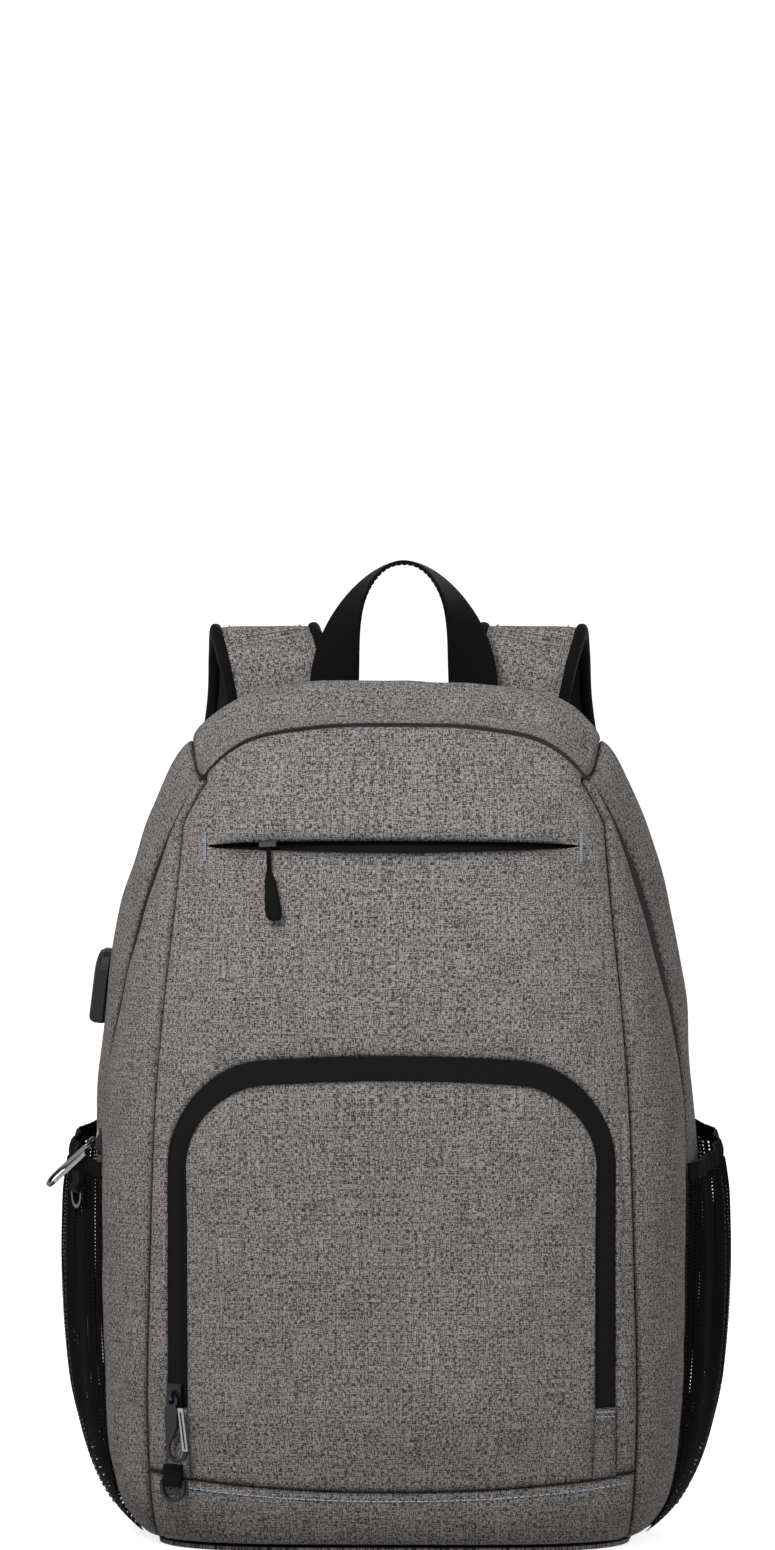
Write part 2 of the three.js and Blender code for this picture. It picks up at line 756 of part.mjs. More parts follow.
// Carrying handle: an arch of webbing that turns from flat at its feet to level at its crest.
function topHeight(x, depth) {
  let [low, high] = [0.5, 1];
  for (let k = 0; k < 30; k += 1) {
    const middle = (low + high) / 2;
    if (loopPoint(middle, depth).x > x) low = middle;
    else high = middle;
  }
  return push(loopPoint(low, depth), gussetPuff((depth - backSeam) / gussetDepth)).z;
}

function handleFrames() {
  const nearest = handleHalf - handleShift - handleWidth / 2;
  const foot = topHeight(nearest, handleFootDepth + webbingWall / 2) + seamGap;
  return steps(-1, 1, 26).map((u) => {
    const angle = (u * Math.PI) / 2;
    const at = place(
      handleShift + handleHalf * Math.sin(angle) * (1 - 0.1 * Math.cos(angle)),
      handleFootDepth - 4 * Math.cos(angle),
      foot + handleRise * Math.cos(angle) ** 0.85,
    );
    return { at, turn: (Math.PI / 2) * (1 - Math.abs(u) ** 2.2) };
  });
}

function haulHandle() {
  const stops = handleFrames();
  const route = new THREE.CatmullRomCurve3(stops.map((stop) => stop.at));
  const rings = stops.map(({ turn }, k) => {
    const t = k / (stops.length - 1);
    const along = route.getTangent(t);
    if (k === 0) along.set(0, 0, 1);
    if (k === stops.length - 1) along.set(0, 0, -1);
    const back = new THREE.Vector3(0, 1, 0);
    const inPlane = along.clone().cross(back).normalize();
    const across = inPlane.clone().multiplyScalar(Math.cos(turn)).addScaledVector(back, Math.sin(turn));
    const face = along.clone().cross(across).normalize();
    const frame = { at: route.getPoint(t), across, face, width: handleWidth, thick: webbingWall };
    return sectionRing(frame, thinSection);
  });
  return loft(rings);
}

// Shoulder strap: sewn to the back panel, over its crest and down behind, in shares of the bag.
const strapRows = [
  { across: 0.385, behind: 0, up: 0.925, thick: 0.45 },
  { across: 0.4, behind: 0.02, up: 0.985, thick: 0.6 },
  { across: 0.43, behind: 0.14, up: 1.032, thick: 1 },
  { across: 0.462, behind: 0.47, up: 1.06, thick: 1 },
  { across: 0.472, behind: 0.84, up: 1.034, thick: 1 },
  { across: 0.48, behind: 1, up: 0.975, thick: 1 },
  { across: 0.53, behind: 0.88, up: 0.86, thick: 1 },
  { across: 0.6, behind: 0.68, up: 0.72, thick: 1 },
  { across: 0.645, behind: 0.56, up: 0.57, thick: 1 },
  { across: 0.66, behind: 0.52, up: 0.45, thick: 0.9 },
  { across: 0.66, behind: 0.52, up: 0.395, thick: 0.55 },
];

function strapStops(side) {
  const face = backFace(0.866) - 2 * seamGap - bindingWall - (strapRows[0].thick * strapPad) / 2;
  return strapRows.map(({ across, behind, up, thick }) => ({
    at: place(side * across * halfWidth, face - strapReach * behind, up * bagHeight),
    across: new THREE.Vector3(1, 0, 0),
    width: strapWidth,
    thick: thick * strapPad,
  }));
}

const strapFrames = (side) => bandFrames(strapStops(side), 24, 0.7);

const padSection = [
  { across: 1, face: 0.45 },
  { across: 0.88, face: 0.85 },
  { across: 0.4, face: 1 },
  { across: 0, face: 0.9 },
  { across: -0.4, face: 1 },
  { across: -0.88, face: 0.85 },
  { across: -1, face: 0.45 },
  { across: -1, face: -0.45 },
  { across: -0.88, face: -0.85 },
  { across: 0, face: -1 },
  { across: 0.88, face: -0.85 },
  { across: 1, face: -0.45 },
];

// The pad itself lies inside its bindings.
function shoulderStrap(side) {
  const rings = strapFrames(side).map((frame) => {
    const [width, thick] = [frame.width - 2 * bindingWall - 5 * seamGap, frame.thick - 2 * seamGap];
    return sectionRing({ ...frame, width, thick }, padSection);
  });
  return loft(rings);
}

// Binding folded round one long edge of a strap.
function strapBinding(side, edge) {
  const rings = strapFrames(side).map(({ at, across, face, width, thick }) => {
    const spot = (in1, out1) =>
      at.clone().addScaledVector(across, edge * (width / 2 - in1)).addScaledVector(face, out1);
    const inside = thick / 2 + seamGap;
    const outside = inside + bindingWall;
    return [
      spot(bindingWidth, inside),
      spot(bindingWidth, outside),
      spot(0, outside * 0.8),
      spot(0, -outside * 0.8),
      spot(bindingWidth, -outside),
      spot(bindingWidth, -inside),
      spot(bindingWall, -inside * 0.75),
      spot(bindingWall, inside * 0.75),
    ];
  });
  return loft(rings);
}

// Lower end of a strap: a webbing loop, a ladder lock, the adjusting webbing and its wing tab.
const lockLength = 3 * lockBar + 2 * lockSlot;
// The webbing's middle stands this far off the lock's.
const lockReach = lockThick / 2 + seamGap + webbingThin / 2 + webbingSlack;

function lockSpot(side) {
  const end = strapStops(side)[strapRows.length - 1].at;
  return end.clone().setZ(end.z - 2 * seamGap - webbingThin - lockLength / 2);
}

function rectangle(width, height, middle = 0) {
  const [x, low, high] = [width / 2, middle - height / 2, middle + height / 2];
  return [[-x, low], [x, low], [x, high], [-x, high]];
}

function ladderLock(side) {
  const shape = polygon(rectangle(lockWidth, lockLength));
  const slotWidth = strapWebbing + 4 * seamGap;
  const slotMiddle = (lockBar + lockSlot) / 2;
  [slotMiddle, -slotMiddle].forEach((middle) => {
    shape.holes.push(polygon(rectangle(slotWidth, lockSlot, middle)));
  });
  return plate(shape, lockThick).rotateX(Math.PI / 2).translate(...lockSpot(side).toArray());
}

// Webbing round one bar of the lock: places beside the bar's middle, rearwards and up.
function roundBar(centre, sense, rearFirst) {
  const [r, h] = [lockReach, lockBar / 2 + webbingThin / 2 + 3 * seamGap];
  const half = [[r, -h * 0.5], [r * 0.8, h * 0.8]];
  const turn = [...half, [0, h + seamGap], ...half.map(([rear, up]) => [-rear, up]).reverse()];
  return turn.map(([rear, up]) => centre.clone().add(new THREE.Vector3(0, rearFirst * rear, sense * up)));
}

const webStop = (at, across = new THREE.Vector3(1, 0, 0)) => ({
  at,
  across,
  width: strapWebbing,
  thick: webbingThin,
});

function lockTab(side) {
  const top = lockSpot(side).add(new THREE.Vector3(0, 0, lockLength / 2 - lockBar / 2));
  const end = strapStops(side)[strapRows.length - 1].at.z - seamGap;
  const turn = roundBar(top, -1, 1);
  const leg = (near) => near.clone().setZ(end);
  return band([leg(turn[0]), ...turn, leg(turn[4])].map((at) => webStop(at)), 14);
}

const wingDepth = backFace(0.982) - seamGap;
const wingSpot = (side, z, reach) => {
  const { x } = loopPoint(loopAtHeight(z, backSeam), backSeam);
  return place(side * (x - cloth), wingDepth - reach, z);
};

function wingTab(side) {
  const corners = [
    wingSpot(side, wingTop, 0),
    wingSpot(side, wingFoot, 0),
    wingSpot(side, wingFoot + wingEndLow, wingReach),
    wingSpot(side, wingFoot + wingEndHigh, wingReach),
  ];
  const shift = (dx) => corners.map((p) => p.clone().setX(p.x + dx));
  return loft([shift(-cloth / 2), shift(cloth / 2)]);
}

// The webbing's way up from the wing tab to the lock, then its loose tail: behind the lock's middle,
// and the share of the height from the tail's foot to the lock.
const webbingRise = [
  { across: 0.9, behind: 22, share: 0.33, turn: 0.45 },
  { across: 0.8, behind: 12, share: 0.62, turn: 0.15 },
];
const webbingTail = [
  { shift: 2, behind: 8, share: 0.62 },
  { shift: 5, behind: 6, share: 0.29 },
  { shift: 6, behind: 2, share: 0 },
];

function strapWebbingRun(side) {
  const bar = lockSpot(side);
  const level = new THREE.Vector3(1, 0, 0);
  const upright = new THREE.Vector3(0, 0, side);
  const wingMiddle = wingFoot + (wingEndLow + wingEndHigh) / 2;
  const wingEnd = wingSpot(side, wingMiddle, wingReach + 2 * seamGap);
  const low = bar.z - lockLength / 2 - lockBar;
  const height = (share) => lerp(tailFoot, low, share);
  const turn = roundBar(bar, 1, -1);
  const rise = webbingRise.map(({ across, behind, share, turn: twist }) => {
    const at = new THREE.Vector3(side * across * halfWidth, bar.y + behind, height(share));
    return webStop(at, level.clone().lerp(upright, twist));
  });
  const tail = webbingTail.map(({ shift, behind, share }) =>
    webStop(new THREE.Vector3(bar.x + side * shift, bar.y + behind, height(share))),
  );
  return band(
    [
      webStop(wingEnd, upright),
      webStop(wingEnd.clone().setY(bar.y + wingReach / 2), upright),
      ...rise,
      webStop(turn[0].clone().setZ(low)),
      ...turn.map((at) => webStop(at)),
      webStop(turn[4].clone().setZ(low)),
      ...tail,
    ],
    28,
  );
}

// Group whose Z runs up the surface and whose -Y points out of it.
function seat(point, out, up, name) {
  const y = out.clone().negate().normalize();
  const z = up.clone().addScaledVector(y, -up.dot(y)).normalize();
  const group = new THREE.Group();
  group.quaternion.setFromRotationMatrix(new THREE.Matrix4().makeBasis(y.clone().cross(z), y, z));
  group.position.copy(point);
  group.name = name;
  backpack.add(group);
  return group;
}

function circlePath(radius) {
  const path = new THREE.Shape();
  path.absarc(0, 0, radius, 0, Math.PI * 2, false);
  return path;
}

// Slider: a wedge on the tape with a ring-shaped bail, its bore across the zip.
function slider() {
  const [half, high] = [sliderLength / 2, sliderThick];
  const nose = [[half, -high * 0.6], [half * 0.5, -high]];
  const tail = [[-half * 0.6, -high], [-half, -high * 0.5]];
  const wedge = polygon([[-half, 0], [half, 0], ...nose, ...tail]);
  const body = plate(wedge, sliderWidth).rotateY(Math.PI / 2).translate(0, -seamGap, 0);
  const ring = circlePath(bailOuter);
  ring.holes.push(circlePath(bailInner));
  const bail = plate(ring, bailWidth, 5).rotateY(Math.PI / 2).translate(0, -seamGap - high - bailStand, 0);
  return join(body, bail);
}

const hingeOut = seamGap + sliderThick + bailStand; // hinge of a pull over the tape
const eyeDrop = (eyeHole + eyeRim) / 2; // eye centre below the hinge

// Clasping pull: an eye, a tapered plate and an open hook, flat in x and z, hinged at the origin.
function pullPlate() {
  const foot = eyeDrop - pullLength + hookRadius;
  const hookMiddle = hookRadius - plateHalf + hookInset;
  const shoulder = -eyeDrop - eyeRim - plateTaper;
  const shape = new THREE.Shape();
  shape.absarc(0, -eyeDrop, eyeRim, -0.25 * Math.PI, 1.25 * Math.PI, false);
  shape.lineTo(-plateHalf, shoulder);
  shape.lineTo(hookMiddle - hookRadius, foot);
  shape.absarc(hookMiddle, foot, hookRadius, Math.PI, 2 * Math.PI, false);
  shape.lineTo(hookMiddle + hookRadius - hookWire, foot);
  shape.absarc(hookMiddle, foot, hookRadius - hookWire, 2 * Math.PI, Math.PI, true);
  shape.lineTo(hookMiddle - hookRadius + hookWire, foot + 2 * hookWire);
  shape.lineTo(plateHalf - plateStep - plateTaper, foot + 2 * hookRadius);
  shape.lineTo(plateHalf - plateStep, shoulder);
  const eye = new THREE.Path();
  eye.absarc(0, -eyeDrop, eyeHole, 0, Math.PI * 2, true);
  shape.holes.push(eye);
  return plate(shape, pullThick, 5).rotateX(Math.PI / 2);
}

const gateTop = -eyeDrop - eyeRim;
const gatePivot = new THREE.Vector3(plateHalf - plateStep + gateTravel + gateWire, 0, gateTop);

// Wire gate beside the plate: a long slotted link from its pivot to the tip of the hook.
function gateLink() {
  const foot = eyeDrop - pullLength + hookRadius + gateTravel;
  const tip = 2 * hookRadius - plateHalf + hookInset - hookWire / 2;
  const width = 2 * gateWire + gateSlot;
  const start = gatePivot.x;
  const top = [start - gateWire, start - gateWire + width];
  const low = [tip - width / 2, tip + width / 2];
  const line = ([a, b], inset, up) => [[a + inset, up], [b - inset, up]];
  const [t0, t1] = line(top, 0, gateTop);
  const [l0, l1] = line(low, 0, foot);
  const [s0, s1] = line(top, gateWire, gateTop - 2 * gateWire);
  const [h0, h1] = line(low, gateWire, foot + gateWire);
  const shape = polygon([t0, l0, l1, t1]);
  shape.holes.push(polygon([s0, s1, h1, h0]));
  return plate(shape, pullThick * 0.8).rotateX(Math.PI / 2);
}

function claspingPull(word, group, lean) {
  add(`${word}_slider`, slider(), 'blackMetal', group);
  const swing = new THREE.Group();
  swing.name = `${word}_hinge`;
  swing.position.set(0, -hingeOut, 0);
  swing.rotation.x = -THREE.MathUtils.degToRad(lean);
  group.add(swing);
  add(`${word}_pull`, pullPlate(), 'blackMetal', swing);
  add(`${word}_gate`, gateLink(), 'blackMetal', swing);
  const pivot = new THREE.Group();
  pivot.name = `${word}_gate_pivot`;
  pivot.position.copy(gatePivot);
  swing.add(pivot);
}

// D-ring held in a folded tab, hanging from the ring's straight bar.
const tabBore = ringWire * 0.75 + seamGap;

function ringTab() {
  const loop = circlePath(tabBore + tabWall);
  loop.holes.push(circlePath(tabBore));
  const fold = plate(loop, tabWidth, 5).rotateY(Math.PI / 2);
  const strip = new THREE.BoxGeometry(tabWidth, 2 * tabWall, tabLength);
  return join(fold, strip.translate(0, 0, tabLength / 2 + tabBore + tabWall / 2));
}

function dRing() {
  const [outer, wire] = [ringHalf, ringWire];
  const shape = new THREE.Shape();
  const bend = ringDrop - outer;
  shape.moveTo(outer, wire / 2);
  shape.lineTo(-outer, wire / 2);
  shape.lineTo(-outer, -bend);
  shape.absarc(0, -bend, outer, Math.PI, 2 * Math.PI, false);
  const hole = new THREE.Path();
  hole.moveTo(outer - wire, -wire / 2);
  hole.lineTo(outer - wire, -bend);
  hole.absarc(0, -bend, outer - wire, 2 * Math.PI, Math.PI, true);
  hole.lineTo(wire - outer, -wire / 2);
  shape.holes.push(hole);
  return plate(shape, wire, 5).rotateX(Math.PI / 2);
}

function claspRing(word, group) {
  add(`${word}_tab`, ringTab(), 'webbing', group);
  add(`${word}_ring`, dRing(), 'blackMetal', group);
}

const up = new THREE.Vector3(0, 0, 1);

// Surface frame of the front at a place, from two points on it.
function frontSeat(x, z, lift) {
  const reach = 12;
  const high = frontPoint(x, z + reach, lift);
  const low = frontPoint(x, z - reach, lift);
  const along = high.clone().sub(low);
  const wide = frontPoint(x + reach, z, lift).sub(frontPoint(x - reach, z, lift));
  const facing = wide.cross(along).normalize();
  return { point: frontPoint(x, z, lift), facing: facing.y < 0 ? facing : facing.negate(), along };
}

// Seat of a ring that hangs plumb, its bar clear of the surface by the tab's own thickness.
function ringSeat(point, facing, lift, name) {
  const out = facing.clone().setZ(0).normalize();
  return seat(point.clone().addScaledVector(out, tabBore + tabWall + lift), out, up, name);
}

function pocketHardware() {
  const zipLift = pocketLift(archFoot + sliderLength) / 2 + seamGap;
  const spot = frontSeat(-archHalf, archFoot + sliderLength / 2 + seamGap, zipLift);
  claspingPull('pocket', seat(spot.point, spot.facing, up, 'pocket_seat'), 0);
  const low = frontSeat(-archHalf - 1, baseSeamHeight(archHalf) - tabBore, 0);
  claspRing('pocket', ringSeat(low.point, low.facing, seamGap / 2, 'pocket_ring_seat'));
}

// The side pull hangs from the left lower end of the main zip, over the corner of the mesh pocket.
function sideHardware() {
  const depth = (zipRear + zipFront) / 2;
  const at = loopAtHeight(zipEndHeight + sliderLength / 2 + 2, depth);
  const point = loopPoint(at, depth);
  point.x *= -1;
  const out = new THREE.Vector3(-1, 0, 0);
  const turn = THREE.MathUtils.degToRad(mainSliderTurn);
  const slant = new THREE.Vector3(0, -Math.sin(turn), Math.cos(turn));
  point.addScaledVector(out, mainSliderLift);
  claspingPull('main', seat(point, out, slant, 'main_seat'), mainPullLean);
  const spot = (share, z) => meshPoint(-1, share, z, meshWall);
  const [share, z] = [sideRingShare, meshTopFront - sideRingDrop];
  const along = spot(share, z).sub(spot(share, z - bandHeight));
  const facing = along.clone().cross(spot(share, z).sub(spot(share - 0.06, z))).normalize();
  if (facing.x > 0) facing.negate();
  claspRing('side', ringSeat(spot(share, z), facing, seamGap, 'side_ring_seat'));
}

function slitHardware() {
  const spot = frontSeat(slitSliderAcross, slitHeight, 0);
  const group = seat(spot.point, spot.facing, spot.along, 'slit_seat');
  const deep = slitTapeDrop - 2 * seamGap;
  const proud = upperPuff + slitSliderHeight / 2;
  const body = new THREE.BoxGeometry(slitSliderLength, deep + proud, slitSliderHeight);
  add('slit_slider', body.translate(0, (deep - proud) / 2, 0), 'blackMetal', group);
  const out = -(upperPuff + gripThick / 2 + cordRadius);
  const ring = (z, half, thick, y, x) =>
    steps(0, 1, 8).slice(1).map((q) => {
      const angle = 2 * Math.PI * q;
      return new THREE.Vector3(x + half * Math.cos(angle), y + thick * Math.sin(angle), z);
    });
  const cordTop = -slitSliderHeight / 2 - seamGap;
  const cordFoot = cordTop - cordLength;
  const cord = [0, 0.5, 1].map((q) => {
    const away = lerp(-proud / 2 - 2 * seamGap, out, q ** 0.5);
    return ring(lerp(cordTop, cordFoot, q), 1.6 * cordRadius, cordRadius, away, gripShift * q);
  });
  add('slit_cord', loft(cord), 'webbing', group);
  const gripRows = [
    { down: 0, half: 0.45, thick: 0.6 },
    { down: 0.18, half: 0.66, thick: 0.85 },
    { down: 0.6, half: 0.92, thick: 1 },
    { down: 0.85, half: 1, thick: 1 },
    { down: 0.95, half: 0.85, thick: 0.85 },
    { down: 1, half: 0.5, thick: 0.5 },
  ];
  const grip = gripRows.map(({ down, half, thick }) =>
    ring(
      cordFoot - seamGap - down * gripLength,
      half * gripHalf,
      (thick * gripThick) / 2,
      out,
      gripShift * (1 + 2 * down),
    ),
  );
  add('slit_grip', loft(grip), 'rubber', group);
}

// Charge port: a domed housing on the left gusset, with its socket open below.
function portOutline(scale, y) {
  const [half, spring] = [portWidth / 2, portHeight - portWidth / 2];
  const dome = steps(0, Math.PI, 10).map((a) => [half * Math.cos(a), spring + half * Math.sin(a)]);
  const points = [[half, 0], ...dome, [-half, 0]];
  const middle = portHeight * 0.45;
  return points.map(([x, z]) => new THREE.Vector3(x * scale, y, middle + (z - middle) * scale));
}

function chargePort() {
  const housing = loft([
    portOutline(1, -seamGap),
    portOutline(1, -portProud * 0.55),
    portOutline(0.93, -portProud * 0.9),
    portOutline(0.82, -portProud),
  ]);
  const socketWall = (portProud - seamGap - socketGap) / 2;
  const socket = new THREE.BoxGeometry(socketWidth, socketGap, 2 * socketReach);
  return cut(housing, socket.translate(0, -seamGap - socketWall - socketGap / 2, 0));
}

function portHardware() {
  const at = loopAtHeight(portFoot + portHeight / 2, portDepth);
  const [high, low] = [0.02, -0.02].map((d) => loopPoint(at + d, portDepth));
  const mirror = (p) => p.setX(-p.x);
  const along = mirror(high.clone()).sub(mirror(low.clone()));
  const nearby = portWidth / 3;
  const [fore, aft] = [nearby, -nearby].map((d) => mirror(loopPoint(at, portDepth + d)));
  const wide = fore.sub(aft);
  const facing = wide.cross(along).normalize();
  const out = facing.x < 0 ? facing : facing.negate();
  const point = mirror(loopPoint(at, portDepth));
  const puff = gussetPuff((portDepth - backSeam) / gussetDepth);
  point.addScaledVector(out, puff - portSink);
  point.addScaledVector(along.clone().normalize(), -portHeight / 2);
  const group = seat(point, out, along, 'port_seat');
  add('charge_port', chargePort(), 'plastic', group);
}

add('base_panel', basePlate(), 'melange');
add('back_panel', backPanel(), 'blackCloth');
add('gusset_top', topGusset(), 'melange');
add('main_zip', mainZip(), 'zip');
add('upper_panel', upperPanel(), 'melange');
add('slit_zip', slitZip(), 'zip');
add('pocket_zip', pocketZip(), 'zip');
add('pocket_panel', pocketPanel(), 'melange');
add('lower_front', lowerFront(), 'melange');
add('haul_handle', haulHandle(), 'webbing');

[['right', 1], ['left', -1]].forEach(([word, side]) => {
  add(`gusset_${word}`, sideGusset(side), 'melange');
  add(`front_side_${word}`, frontSide(side), 'melange');
  add(`zip_end_${word}`, zipEnd(side), 'melange');
  add(`mesh_pocket_${word}`, meshPocket(side), 'meshCloth');
  add(`pocket_band_${word}`, pocketBand(side), 'blackCloth');
  add(`strap_${word}`, shoulderStrap(side), 'melange');
  add(`strap_binding_${word}_outer`, strapBinding(side, side), 'blackCloth');
  add(`strap_binding_${word}_inner`, strapBinding(side, -side), 'blackCloth');
  add(`ladder_lock_${word}`, ladderLock(side), 'plastic');
  add(`lock_tab_${word}`, lockTab(side), 'webbing');
  add(`strap_webbing_${word}`, strapWebbingRun(side), 'webbing');
  add(`wing_tab_${word}`, wingTab(side), 'melange');
});

pocketHardware();
sideHardware();
slitHardware();
portHardware();

export default backpack;
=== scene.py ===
"""Looks of the anti theft backpack, built round its CAD frame. Lengths in the functions are millimetres."""
import math
import bpy
import numpy as np
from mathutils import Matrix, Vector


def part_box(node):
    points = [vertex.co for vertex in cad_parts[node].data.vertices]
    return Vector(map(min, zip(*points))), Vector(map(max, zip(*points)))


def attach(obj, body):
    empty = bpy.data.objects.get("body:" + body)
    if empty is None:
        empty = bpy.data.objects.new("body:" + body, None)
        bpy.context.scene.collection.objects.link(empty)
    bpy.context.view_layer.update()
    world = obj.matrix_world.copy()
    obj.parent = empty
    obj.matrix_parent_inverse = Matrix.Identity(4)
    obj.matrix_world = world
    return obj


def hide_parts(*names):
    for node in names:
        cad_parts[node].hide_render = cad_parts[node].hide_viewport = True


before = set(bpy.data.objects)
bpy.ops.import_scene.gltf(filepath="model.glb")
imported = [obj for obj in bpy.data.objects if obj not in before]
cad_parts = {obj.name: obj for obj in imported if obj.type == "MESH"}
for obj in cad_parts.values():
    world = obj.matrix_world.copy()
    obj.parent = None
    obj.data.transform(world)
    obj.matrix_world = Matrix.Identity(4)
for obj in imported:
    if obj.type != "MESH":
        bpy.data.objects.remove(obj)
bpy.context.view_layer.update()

# Sizes of the CAD solids
BAG_HEIGHT, HALF_WIDTH = 460, 160
BACK_SEAM, GUSSET_DEPTH, ZIP_TAPE = 4, 72, 18
ZIP_REAR = BACK_SEAM + GUSSET_DEPTH
ZIP_FRONT = ZIP_REAR + ZIP_TAPE
FRONT_BULGE, SQUARENESS = 88, 4.2
SHOULDER_PINCH, PINCH_LOW, PINCH_HIGH = 0.06, 0.5, 0.76
CLOTH, TAPE_WALL, BASE_WALL, SEAM_GAP = 1.8, 1.3, 2.2, 0.3
UPPER_PUFF, SIDE_PUFF = 2, 1.5
ZIP_END, SHOULDER_SEAM, SEAM_TOP, SEAM_LAND = 206, 412, 409, 3
BASE_SEAM, BASE_RISE, BASE_HALF = 33.5, 9, 130
ARCH_HALF, ARCH_RADIUS, ARCH_SPRING, ARCH_CROWN = 113, 45, 206, 7
ARCH_TAPE, ARCH_FOOT, ARCH_LIFT, SIDE_LIFT, POCKET_PUFF = 13.5, 79, 8, 3, 3
SLIT_HEIGHT, SLIT_HALF, SLIT_OPEN, SLIT_TAPE, SLIT_DROP = 0.813 * BAG_HEIGHT, 98, 5.4, 14, 4.2
MESH_WALL, MESH_BULGE, MESH_CLEAR = 1.2, 17, 0.7
MESH_FRONT, MESH_REAR, MESH_FOOT, BAND_HEIGHT, BAND_WALL = 203, 224, 6, 9, 1.8
PLEAT_DEPTH, PLEAT_COUNT = 1.3, 4.5
PANEL_EDGE, PANEL_PAD = 5, 4
HANDLE_RISE, HANDLE_HALF, HANDLE_SHIFT, HANDLE_WIDTH = 70, 38, 3.4, 27
WEBBING_WALL, HANDLE_FOOT = 2.4, 7
STRAP_WIDTH, STRAP_PAD, BINDING, BINDING_WALL = 60, 8, 7, 0.9
STRAP_WEBBING, WEB_THIN, STRAP_REACH = 22, 1.6, 46
LOCK_THICK, LOCK_BAR, LOCK_SLOT, TAIL_FOOT = 4, 3.4, 6.4, 62
WING_TOP, WING_FOOT, WING_REACH = 118, 56, 20
WALL_FOOT = BASE_WALL + SEAM_GAP
PANEL_AT_STRAP, PANEL_AT_WING = 0.866, 0.982  # share of the back panel's reach where each is sewn on
LAP = 13  # how far the gussets lap over the main zip at the shoulders
COVER = 0.9  # how far the cloth beside the arched zip laps over its tape
TAPE_SUNK = 1.5  # how deep the zips lie under the cloth beside them
FINE_GAP = 0.001  # half the gap at a shoulder seam, in loop places

# Sewn cloth: height of wrinkles, puckers and rolled edges, and how far they and the painted shade along a
# seam reach
WRINKLE, PUCKER, PUCKER_WAVE = 1.3, 0.35, 17
ROLL, ROLL_REACH, SHADE_REACH = 1.35, 2.6, 1.4
# Heights and half width of the channels across the back panel, half width of its middle one, and their depth
CHANNELS, CHANNEL_HALF, MIDDLE_HALF, CHANNEL_DEPTH = (150, 265, 380), 7, 11, 4.2
# Nets: thickness, depth of the folds, count of the gathers and length round the side; thickness of the edging
NET_WALL, NET_FOLD, GATHERS, NET_LENGTH, EDGING_WALL = 0.5, 1.5, 23, 110, 1.2
# Straps: what the tape covers, and where the two sewn creases lie along them
TAPED, UPPER_CREASE, LOWER_CREASE, WEB_SLACK = 2.2, 62, 300, 0.4
# Weave: waves a metre of its flecks and slower streaks, the streaks' share, the noise at dark and light, and
# how far the painted seam shade darkens the weave
FLECKS, STREAKS = ((2300.0, 420.0), (420.0, 2300.0)), ((1000.0, 40.0), (40.0, 1000.0))
STREAK_SHARE, NOISE_DARK, NOISE_LIGHT, CREASE_SHADE = 0.3, 1.21, 1.40, 0.8
TEETH = 4400.0  # phase a metre of the ribs on a zip

# Half outline (share of half width, share of height) from the base corner to the top
OUTLINE = [(0.78, 0), (0.88, 0.02), (0.944, 0.057), (0.975, 0.11), (0.99, 0.2), (1, 0.35), (1, 0.511),
           (0.981, 0.635), (0.931, 0.739), (0.869, 0.811), (0.794, 0.88), (0.7, 0.935), (0.5625, 0.976),
           (0.3125, 0.996), (0, 1)]
# Outline's size (share of the depth, value)
STATION_HEIGHT = [(0, 0.989), (0.36, 1), (0.8, 0.959), (1, 0.954)]
STATION_WIDTH = [(0, 0.965), (0.36, 1), (0.8, 0.985), (1, 0.975)]
# Swell of the front's middle, and its side seams (share of the height, value)
FRONT = [(0, 0.636), (0.023, 0.818), (0.057, 0.909), (0.087, 0.943), (0.228, 1), (0.342, 1), (0.547, 0.909),
         (0.683, 0.773), (0.852, 0.5), (0.934, 0.295), (0.979, 0.136), (1, 0)]
SEAMS = [(0, 0.744), (0.016, 0.814), (0.087, 0.833), (0.175, 0.84), (0.36, 0.827), (0.542, 0.808),
         (0.66, 0.782), (0.852, 0.731), (0.932, 0.718)]
MESH = [(0, 0), (0.08, 0.2), (0.2, 0.55), (0.4, 0.92), (0.65, 1), (0.85, 0.92), (1, 0.66)]
# Strap: across and up are shares of the bag, behind of the reach, thick of the pad
STRAP = [(0.385, 0, 0.925, 0.45), (0.4, 0.02, 0.985, 0.6), (0.43, 0.14, 1.032, 1), (0.462, 0.47, 1.06, 1),
         (0.472, 0.84, 1.034, 1), (0.48, 1, 0.975, 1), (0.53, 0.88, 0.86, 1), (0.6, 0.68, 0.72, 1),
         (0.645, 0.56, 0.57, 1), (0.66, 0.52, 0.45, 0.9), (0.66, 0.52, 0.395, 0.55)]


def smooth(at, low, high):
    """Smoothstep: 0 below low, 1 above high, 3q^2 - 2q^3 between."""
    q = np.clip((at - low) / (high - low), 0, 1)
    return q * q * (3 - 2 * q)


def unit(count, power=1.0):
    """Even steps from 0 to 1, raised to a power."""
    return np.linspace(0, 1, count) ** power


def unit_length(v):
    """Vectors brought to length 1."""
    return v / np.maximum(np.linalg.norm(v, axis=-1, keepdims=True), 1e-9)


def run_along(path):
    """Length along a path from its start to each of its points."""
    return np.concatenate([[0], np.cumsum(np.linalg.norm(np.diff(path, axis=0), axis=1))])


